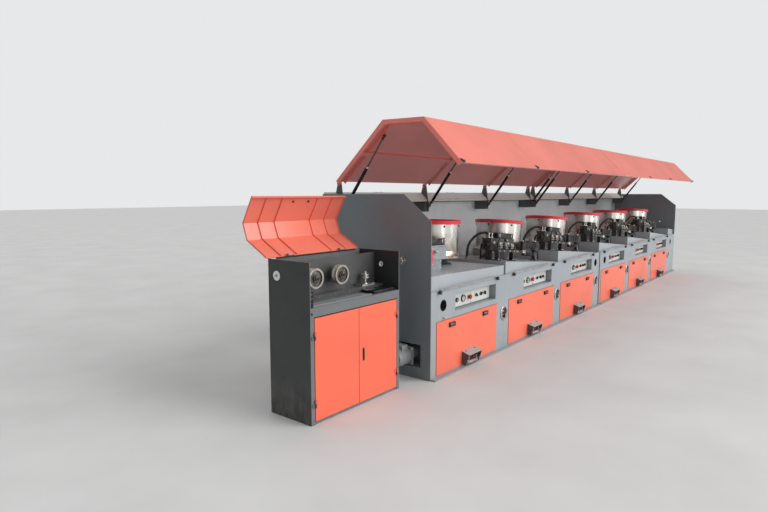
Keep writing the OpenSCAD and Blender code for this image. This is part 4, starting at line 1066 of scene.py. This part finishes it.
        rod(bright, (0.245, y, z), (0.335, y, z), 0.008, turn)
        box(dark, (0.326, -0.020, 0.056), (0.352, 0.014, 0.128), turn, 0.003)
        box(dark, (0.014, -0.020, 0.050), (0.052, 0.014, 0.096), turn, 0.003)
        box(dark, (-0.088, -0.030, 0.124), (-0.038, 0.030, 0.206), turn, 0.004)
        bent_tube(pipes, [(-0.074, 0.010, 0.126), (-0.076, 0.012, 0.100), (-0.082, 0.014, 0.070),
                          (-0.090, 0.016, 0.035), (-0.094, 0.016, -0.002)], 0.007, turn)

    def guides(self, bright, dark, place):
        """Roller nuts, the posts' feet, and a bow that carries a small wire guide."""
        for x in ROLLERS_IN:
            bolt(bright, place @ facing((x, BEAM_Y, ROLLER_TOP), UP), 0.012)
            for spot in ring_of(place @ facing((x, BEAM_Y, 0.160), UP), 0.026, 6):
                socket_screw(bright, spot, 0.0035)
        for x in (0.078, 0.184, 0.316, 0.422):
            bolt(bright, place @ facing((x, BEAM_Y - 0.022, 0.104), FRONT), 0.009)
        for x in (0.080, 0.420):
            box(dark, (x - 0.042, BEAM_Y - 0.040, -0.001), (x + 0.042, BEAM_Y + 0.040, 0.012),
                place, 0.003)
            for spot in corners(place @ facing((x, BEAM_Y, 0.012), UP), 0.031, 0.030):
                bolt(bright, spot, 0.008)
        bow = [Vector((0.062, BEAM_Y - 0.008, 0.114))]
        for i in range(13):
            angle = math.radians(180 - 140 * i / 12)
            bow.append(Vector((0.062 + 0.100 + 0.100 * math.cos(angle), BEAM_Y - 0.008,
                               0.170 + 0.075 * math.sin(angle))))
        bent_tube(dark, bow, 0.009, place)
        tip = bow[-1]
        rod(dark, tip + FRONT * 0.012, tip + BACK * 0.012, 0.017, place)
        bolt(bright, place @ facing(tip + FRONT * 0.012, FRONT), 0.009)
        turned(bright, [(0.012, 0), (0.030, 0), (0.030, 0.004), (0.026, 0.008), (0.030, 0.012),
                        (0.030, 0.016), (0.012, 0.016)],
               place @ facing(self.last_roller + BACK * 0.018, BACK), 32)
        rod(dark, self.last_roller + FRONT * 0.014, self.last_roller + BACK * 0.040, 0.0125, place)
        box(dark, (0.446, BEAM_Y - 0.014, 0.100), (0.482, BEAM_Y + 0.010, 0.164), place, 0.003)


class WIRELINE_OT_back(Step, bpy.types.Operator):
    """Duct joints, bracket bolts, strut glands and the rear panels' fittings"""
    bl_idname = "wireline.back"
    bl_label = "Back and brackets"

    duct_joints = (0.760, 2.160, 3.530, 5.080, 6.480, 7.990)
    strap_z = 1.589

    def execute(self, context):
        size = context.scene.wireline_sizes
        self.ducts()
        self.brackets(size)
        self.struts()
        self.rear(size)
        return {"FINISHED"}

    def ducts(self):
        """Joint straps over the duct's chamfer and top, and a dark strip under its front edge:
        painted shadow of that edge.
        """
        straps, screws, shadow_strip = meshes(3)
        for x in self.duct_joints:
            box(straps, (x - 0.015, 1.118, self.strap_z - 0.0025),
                (x + 0.015, WALL_BACK_Y, self.strap_z))
            slope = facing((x, 1.079, 1.548), (0, -1, 1))
            box(straps, (-0.053, -0.015, -0.0005), (0.053, 0.015, 0.002),
                spun(slope, math.pi / 2))
            for y in (1.140, 1.210):
                socket_screw(screws, facing((x, y, self.strap_z), UP), 0.005)
        for start, end, spots in ((0.008, 4.260, STRUT_X[:4]), (4.300, 8.942, STRUT_X[4:])):
            starts = [start] + [x + BRACKET_HALF for x in spots]
            ends = [x - BRACKET_HALF for x in spots] + [end]
            for x0, x1 in zip(starts, ends):
                if x1 - x0 > 0.010:
                    box(shadow_strip, (x0, DUCT_Y + 0.001, DUCT_Z - 0.008), (x1, DUCT_Y + 0.020, DUCT_Z))
        piece("duct_straps", straps, "beige")
        piece("duct_screws", screws, "screw")
        piece("duct_edge_shadow", shadow_strip, "rubber")

    def brackets(self, size):
        bolts = bmesh.new()
        for x in STRUT_X:
            for dx in (-0.026, 0.026):
                for z in (1.392, 1.452):
                    bolt(bolts, facing((x + dx, DUCT_Y, z), FRONT), size.bolt * 0.8)
            bolt(bolts, facing((x - 0.021, HINGE.y, HINGE.z), INFEED), 0.009)
            bolt(bolts, facing((x + 0.021, STRUT_LOW.y, STRUT_LOW.z), OUTLET), 0.009)
        piece("bracket_bolts", bolts, "dark_screw")

    def struts(self):
        """A bright gland at the mouth of each cylinder, and a nut below each rod's eye."""
        run = (STRUT_HIGH - STRUT_LOW).normalized()
        for side, spots in (("near", STRUT_X[:4]), ("far", STRUT_X[4:])):
            glands, nuts = meshes(2)
            for x in spots:
                low = Vector((x + 0.010, STRUT_LOW.y, STRUT_LOW.z))
                turned(glands, [(0.0095, -0.006), (0.0165, -0.006), (0.0165, 0.004),
                                (0.0130, 0.009), (0.0095, 0.009)],
                       facing(low + run * 0.449, run), 28)
                turned(glands, [(0.0150, -0.003), (0.0160, -0.003), (0.0160, 0.003),
                                (0.0150, 0.003)], facing(low + run * 0.060, run), 28)
                top = low + run * ((STRUT_HIGH - STRUT_LOW).length - 0.020)
                rod(nuts, top - run * 0.014, top, 0.0125, sides=6)
            piece(f"strut_glands_{side}", glands, "screw", f"strut_cylinders_{side}")
            piece(f"strut_nuts_{side}", nuts, "dark_screw", f"strut_rods_{side}")

    def rear(self, size):
        """Latches on the rear panels, and screws along the back walls."""
        latches, bolts = meshes(2)
        for unit, x0 in enumerate(UNITS):
            for x in (panel_span(unit)[0] + LATCH_IN, panel_span(unit)[1] - LATCH_IN):
                place = facing((x, BED_D, LATCH_Z), BACK)
                box(latches, (-0.040, -0.018, -0.001), (0.040, 0.018, 0.005), place, 0.002)
                box(latches, (-0.028, -0.014, 0.004), (0.028, 0.004, 0.009), place, 0.002)
            for along in (0.080, 0.700, 1.320):
                for z in (0.790, 1.120, 1.450):
                    bolt(bolts, facing((x0 + along, WALL_BACK_Y, z), BACK), size.bolt)
        piece("rear_latches", latches, "plastic")
        piece("back_wall_bolts", bolts, "dark_screw")


class WIRELINE_OT_canopies(Step, bpy.types.Operator):
    """Clips, sheet joints and lug bolts on the two canopies"""
    bl_idname = "wireline.canopies"
    bl_label = "Canopies"

    def execute(self, context):
        down = (CANOPY_FRONT - CANOPY_FOLD).normalized()
        out = Vector((0, -down.z, down.y))
        out = -out if out.y > 0 else out
        seam = STRUT_X[3] + 0.080
        for side, ends, joints, spots, span in (
                ("near", (0.010,), (1.410, 2.822), STRUT_X[:4], (-0.016, seam - 0.006)),
                ("far", (8.940,), (5.675, 7.028), STRUT_X[4:], (seam + 0.006, LINE_L + 0.016))):
            clips, welds, bolts = meshes(3)
            self.hem(welds, span, down, out)
            for x in joints:
                mid = (CANOPY_FRONT + CANOPY_FOLD) / 2 + OUTLET * x
                half = (CANOPY_FRONT - CANOPY_FOLD).length / 2 - 0.004
                rod(welds, mid - down * half, mid + down * half, 0.0016, sides=8)
                top = (CANOPY_RIDGE + CANOPY_FOLD) / 2 + OUTLET * x
                flat = (CANOPY_RIDGE - CANOPY_FOLD).normalized()
                rod(welds, top - flat * 0.20, top + flat * 0.20, 0.0016, sides=8)
            for x in (*joints, *ends):
                self.clip(clips, x, down, out)
            for x in spots:
                eye = x + 0.022
                bolt(bolts, facing((eye + 0.009, STRUT_HIGH.y, STRUT_HIGH.z), OUTLET), 0.009)
            piece(f"canopy_clips_{side}", clips, "plastic", f"canopy_{side}")
            piece(f"canopy_welds_{side}", welds, "canopy", f"canopy_{side}")
            piece(f"canopy_lug_bolts_{side}", bolts, "dark_screw", f"canopy_{side}")
        return {"FINISHED"}

    @staticmethod
    def hem(bm, span, down, out):
        """The folded strip along the front lip."""
        middle = OUTLET * (sum(span) / 2)
        half = (span[1] - span[0]) / 2
        place = facing(CANOPY_FRONT + middle, out)
        across = place.to_3x3().transposed() @ down
        low, high = sorted((-across.y * 0.024, across.y * 0.001))
        box(bm, (-half, low, -0.0006), (half, high, 0.0030), place, 0.0008)

    @staticmethod
    def clip(bm, x, down, out):
        """A black spring clip folded round the front lip."""
        place = facing(CANOPY_FRONT + OUTLET * x - down * 0.018, out)
        box(bm, (-0.020, -0.022, -0.001), (0.020, 0.018, 0.006), place, 0.001)
        rod(bm, (-0.021, -0.008, 0.008), (0.021, -0.008, 0.008), 0.006, place, 12)


class WIRELINE_OT_end_plate(Step, bpy.types.Operator):
    """Fins, terminal box and bolts of the motor in the infeed end plate"""
    bl_idname = "wireline.end_plate"
    bl_label = "Infeed end"

    centre = Vector((0, 0.250, 0.190))

    def execute(self, context):
        fins, bolts, rubber = meshes(3)
        axis = facing(self.centre, INFEED)
        for i in range(28):
            turn = spun(axis, math.tau * (i + 0.5) / 28)
            box(fins, (0.064, -0.0014, 0.016), (0.0755, 0.0014, 0.146), turn)
        turned(fins, [(0.030, 0.150), (0.069, 0.150), (0.069, 0.166), (0.062, 0.174),
                      (0.030, 0.174)], axis, 40)
        box(fins, (-0.110, self.centre.y - 0.040, self.centre.z + 0.062),
            (-0.030, self.centre.y + 0.040, self.centre.z + 0.100), bevel=0.004)
        for spot in corners(facing(self.centre + INFEED * 0.012, INFEED), 0.062, 0.062):
            bolt(bolts, spot, 0.010)
        lid = facing(self.centre + Vector((-0.070, 0, 0.100)), UP)
        for spot in corners(lid, 0.028, 0.030):
            socket_screw(bolts, spot, 0.005)
        turned(rubber, [(0, -0.001), (0.014, -0.001), (0.014, 0.012), (0.009, 0.020),
                        (0.009, 0.026), (0, 0.026)],
               facing(self.centre + Vector((-0.070, 0.040, 0.080)), BACK), 20)
        for place in (facing((-0.008, WIRE_Y, WIRE_Z), INFEED),
                      facing((LINE_L + 0.008, WIRE_Y, WIRE_Z), OUTLET)):
            for spot in ring_of(place, 0.028, 4, math.pi / 4):
                socket_screw(bolts, spot, 0.005)
        for z in (0.987, 1.119):
            bolt(bolts, facing((0.026, 0.007, z), FRONT), 0.006)
        piece("motor_fins", fins, "motor")
        piece("end_bolts", bolts, "screw")
        piece("motor_gland", rubber, "rubber")
        return {"FINISHED"}


class WIRELINE_OT_stand(Step, bpy.types.Operator):
    """Handle, hinges' screws, wire eyes, rollers and trims of the infeed stand"""
    bl_idname = "wireline.stand"
    bl_label = "Infeed stand"

    door_y = 0.100

    def execute(self, context):
        self.doors()
        self.bay()
        self.pulleys()
        self.cover()
        return {"FINISHED"}

    def doors(self):
        slot, screws, feet = meshes(3)
        place = facing((-0.735, self.door_y + 0.003, 0.385), FRONT)
        box(slot, (-0.010, -0.048, -0.0005), (0.010, 0.048, 0.0035), place, 0.0015)
        box(slot, (-0.005, -0.034, 0.003), (0.005, 0.034, 0.0065), place, 0.0015)
        piece("door_handle", slot, "plastic", "stand_door_right")
        for side, x, body in ((1, STAND_X0 + 0.039, "stand_door_left"),
                              (-1, STAND_X1 - 0.039, "stand_door_right")):
            own = bmesh.new()
            for z in (0.150, 0.620):
                for dz in (0.006, 0.020):
                    on_door = (x + side * 0.014, self.door_y, z + dz)
                    on_post = (x - side * 0.014, self.door_y, z - 0.027 + dz)
                    socket_screw(own, facing(on_door, FRONT), 0.0035)
                    socket_screw(screws, facing(on_post, FRONT), 0.0035)
            piece(f"{body}_screws", own, "screw", body)
        bolt(screws, facing((STAND_X0 + 0.016, STAND_Y0, 0.773), FRONT), 0.008)
        for x in (STAND_X0 + 0.030, STAND_X1 - 0.030):
            for y in (STAND_Y0 + 0.030, STAND_Y1 - 0.030):
                rod(feet, (x, y, 0.0002), (x, y, 0.004), 0.026, sides=24)
        piece("stand_screws", screws, "dark_screw")
        piece("stand_pads", feet, "rubber")

    def bay(self):
        """Slats of the tray, the spool's screws and wire eyes in the side walls."""
        bars, steel, eyes, dark = meshes(4)
        low = BAY_FLOOR_Z - 0.001
        for y, z in ((0.112, 0.826), (0.150, 0.820), (0.188, 0.820)):
            box(bars, (STAND_X0 + 0.034, y, low), (STAND_X1 - 0.330, y + 0.016, z), bevel=0.001)
        box(dark, (STAND_X1 - 0.280, 0.130, low), (STAND_X1 - 0.030, 0.258, 0.834), bevel=0.003)
        box(dark, (STAND_X0 + 0.0055, STAND_Y0, low), (STAND_X0 + 0.032, STAND_Y0 + 0.004, 0.925),
            bevel=0.001)
        for z in (0.842, 0.872, 0.902):
            bolt(dark, facing((STAND_X0 + 0.019, STAND_Y0, z), FRONT), 0.007)
        for spot in corners(facing(SPOOL + UP * 0.016, UP), 0.060, 0.024):
            bolt(dark, spot, 0.008)
        bolt(steel, facing(SPOOL + UP * 0.102, UP), 0.012)
        for i in range(6):
            x = STAND_X0 + 0.080 + i * 0.164
            socket_screw(steel, facing((x, 0.265, 0.836), FRONT), 0.005)
        for x, y, out in ((STAND_X0, 0.430, INFEED), (STAND_X1, WIRE_Y, OUTLET)):
            turned(eyes, [(0.012, -0.006), (0.0215, -0.006), (0.0215, -0.0002), (0.034, -0.0002),
                          (0.034, 0.005), (0.026, 0.009), (0.015, 0.009), (0.012, 0.005)],
                   facing((x, y, WIRE_Z), out), 36)
        piece("tray_slats", bars, "slat")
        piece("bay_screws", steel, "screw")
        piece("bay_dark_parts", dark, "dark_screw")
        piece("wire_eyes", eyes, "white")

    def pulleys(self):
        for name, x in zip(("pulley_first", "pulley_second"), PULLEYS):
            parts = bmesh.new()
            face = facing((x, PULLEY_Y - 0.012, PULLEY_Z), FRONT)
            rod(parts, (0, 0, -0.001), (0, 0, 0.003), 0.014, face, 24)
            bolt(parts, raised(face, 0.003), 0.008)
            for spot in ring_of(facing((x, PULLEY_Y - 0.004, PULLEY_Z), FRONT), 0.024, 4, 0.4):
                socket_screw(parts, spot, 0.004)
            piece(f"{name}_screws", parts, "dark_screw", name)

    def cover(self):
        """Two bolts on the cover's lip, and a dark strip along the stand's rear upper edge:
        painted shadow under the cover.
        """
        bolts, shadow_strip = meshes(2)
        for x in (-0.860, -0.700):
            bolt(bolts, facing((x, 0.7078, 1.5128), (0, -0.867, -0.499)), 0.009)
        piece("cover_bolts", bolts, "dark_screw", "stand_cover")
        box(shadow_strip, (STAND_X0 + 0.070, STAND_Y1 - 0.012, 1.112), (STAND_X1 - 0.070, STAND_Y1, 1.122),
            bevel=0.002)
        piece("stand_edge_shadow", shadow_strip, "rubber")


class WIRELINE_OT_stage(Step, bpy.types.Operator):
    """Pale floor, soft lights and the camera of the reference view"""
    bl_idname = "wireline.stage"
    bl_label = "Stage"

    eye = Vector((-8.323, -3.198, 1.570))
    ahead = Vector((0.7813, 0.6241, 0))
    dip = math.radians(6.26)

    def execute(self, context):
        self.floor(context)
        self.world(context)
        self.lamps(context)
        self.camera(context)
        context.scene.view_settings.view_transform = "Standard"
        return {"FINISHED"}

    def floor(self, context):
        bm = bmesh.new()
        bmesh.ops.create_grid(bm, x_segments=2, y_segments=2, size=60)
        mesh = bpy.data.meshes.new("floor")
        bm.to_mesh(mesh)
        bm.free()
        mesh.materials.append(floor_finish())
        obj = bpy.data.objects.new("floor", mesh)
        context.scene.collection.objects.link(obj)

    def world(self, context):
        """Even light for matt surfaces; bright ones mirror a lit front and a dim hall behind."""
        world = bpy.data.worlds.new("studio")
        world.use_nodes = True
        context.scene.world = world
        tree = world.node_tree
        tree.nodes.clear()
        link = tree.links.new

        def add(kind, **values):
            made = tree.nodes.new(kind)
            for key, value in values.items():
                made.inputs[key.replace("_", " ")].default_value = value
            return made

        out = add("ShaderNodeOutputWorld")
        seen = add("ShaderNodeBackground", Color=(0.80, 0.81, 0.82, 1))
        hall = add("ShaderNodeBackground", Strength=1.15)
        light = add("ShaderNodeBackground", Color=(0.97, 0.98, 1.0, 1), Strength=0.42)
        toward = add("ShaderNodeSeparateXYZ")
        link(add("ShaderNodeTexCoord").outputs["Generated"], toward.inputs[0])
        front = add("ShaderNodeMapRange", From_Min=-0.45, From_Max=-0.82)
        front.interpolation_type = "SMOOTHSTEP"
        link(toward.outputs["Y"], front.inputs["Value"])
        tint = add("ShaderNodeMix")
        tint.data_type = "RGBA"
        dim, lit = (socket for socket in tint.inputs if socket.type == "RGBA")
        dim.default_value, lit.default_value = (0.17, 0.17, 0.17, 1), (1.0, 0.97, 0.90, 1)
        link(front.outputs[0], tint.inputs[0])
        link(next(socket for socket in tint.outputs if socket.type == "RGBA"),
             hall.inputs["Color"])
        rays = add("ShaderNodeLightPath")
        shiny, clear = (add("ShaderNodeMixShader") for _ in range(2))
        direct = add("ShaderNodeMath")
        direct.operation = "MAXIMUM"
        link(rays.outputs["Is Camera Ray"], direct.inputs[0])
        link(rays.outputs["Is Transmission Ray"], direct.inputs[1])
        link(rays.outputs["Is Glossy Ray"], shiny.inputs[0])
        link(light.outputs[0], shiny.inputs[1])
        link(hall.outputs[0], shiny.inputs[2])
        link(direct.outputs[0], clear.inputs[0])
        link(shiny.outputs[0], clear.inputs[1])
        link(seen.outputs[0], clear.inputs[2])
        link(clear.outputs[0], out.inputs["Surface"])

    @staticmethod
    def put(context, data, turn, location=(0, 0, 0)):
        """A lamp or camera in the scene, under its data's name."""
        obj = bpy.data.objects.new(data.name, data)
        obj.location = location
        obj.rotation_mode = "QUATERNION"
        obj.rotation_quaternion = turn
        context.scene.collection.objects.link(obj)
        return obj

    def lamps(self, context):
        for name, toward, strength, spread in (
                ("window_light", (0.36, -0.78, 0.50), 2.05, 44),
                ("roof_light", (0.10, 0.35, 0.93), 0.7, 60)):
            lamp = bpy.data.lights.new(name, "SUN")
            lamp.energy = strength
            lamp.angle = math.radians(spread)
            self.put(context, lamp, Vector(toward).to_track_quat("Z", "Y"))
        for i, x in enumerate((-4.5, 0.5, 5.5)):
            lamp = bpy.data.lights.new(f"strip_light_{i + 1}", "AREA")
            lamp.shape = "RECTANGLE"
            lamp.size, lamp.size_y = 0.7, 2.6
            lamp.energy = 18
            place = facing((x, -5.2, 1.9), (0.1, -1, 0.15))
            obj = self.put(context, lamp, place.to_quaternion(), place.translation)
            obj.visible_camera = False

    def camera(self, context):
        camera = bpy.data.cameras.new("view")
        camera.lens = 26.48
        camera.sensor_width = 36
        camera.clip_end = 200
        look = self.ahead * math.cos(self.dip) - UP * math.sin(self.dip)
        obj = self.put(context, camera, look.to_track_quat("-Z", "Y"), self.eye)
        context.scene.camera = obj


class WIRELINE_PT_panel(bpy.types.Panel):
    """Lists the steps that dress the machine"""
    bl_idname = "WIRELINE_PT_panel"
    bl_label = "Wire Line"
    bl_space_type = "VIEW_3D"
    bl_region_type = "UI"
    bl_category = "Wire Line"

    def draw(self, context):
        layout = self.layout
        for group in (context.scene.wireline_paint, context.scene.wireline_sizes):
            column = layout.column()
            for key in group.__annotations__:
                column.prop(group, key)
        for step in STEPS:
            layout.operator(step.bl_idname)


GROUPS = (PaintColours, FittingSizes)
STEPS = (WIRELINE_OT_finishes, WIRELINE_OT_instruments, WIRELINE_OT_front, WIRELINE_OT_blocks,
         WIRELINE_OT_drawing_gear, WIRELINE_OT_back, WIRELINE_OT_canopies,
         WIRELINE_OT_end_plate, WIRELINE_OT_stand, WIRELINE_OT_stage)


def register():
    for made in (*GROUPS, *STEPS, WIRELINE_PT_panel):
        bpy.utils.register_class(made)
    bpy.types.Scene.wireline_paint = PointerProperty(type=PaintColours)
    bpy.types.Scene.wireline_sizes = PointerProperty(type=FittingSizes)


def unregister():
    del bpy.types.Scene.wireline_paint
    del bpy.types.Scene.wireline_sizes
    for made in reversed((*GROUPS, *STEPS, WIRELINE_PT_panel)):
        bpy.utils.unregister_class(made)


def main():
    register()
    for step in STEPS:
        area, name = step.bl_idname.split(".")
        getattr(getattr(bpy.ops, area), name)()


if __name__ == "__main__":
    main()
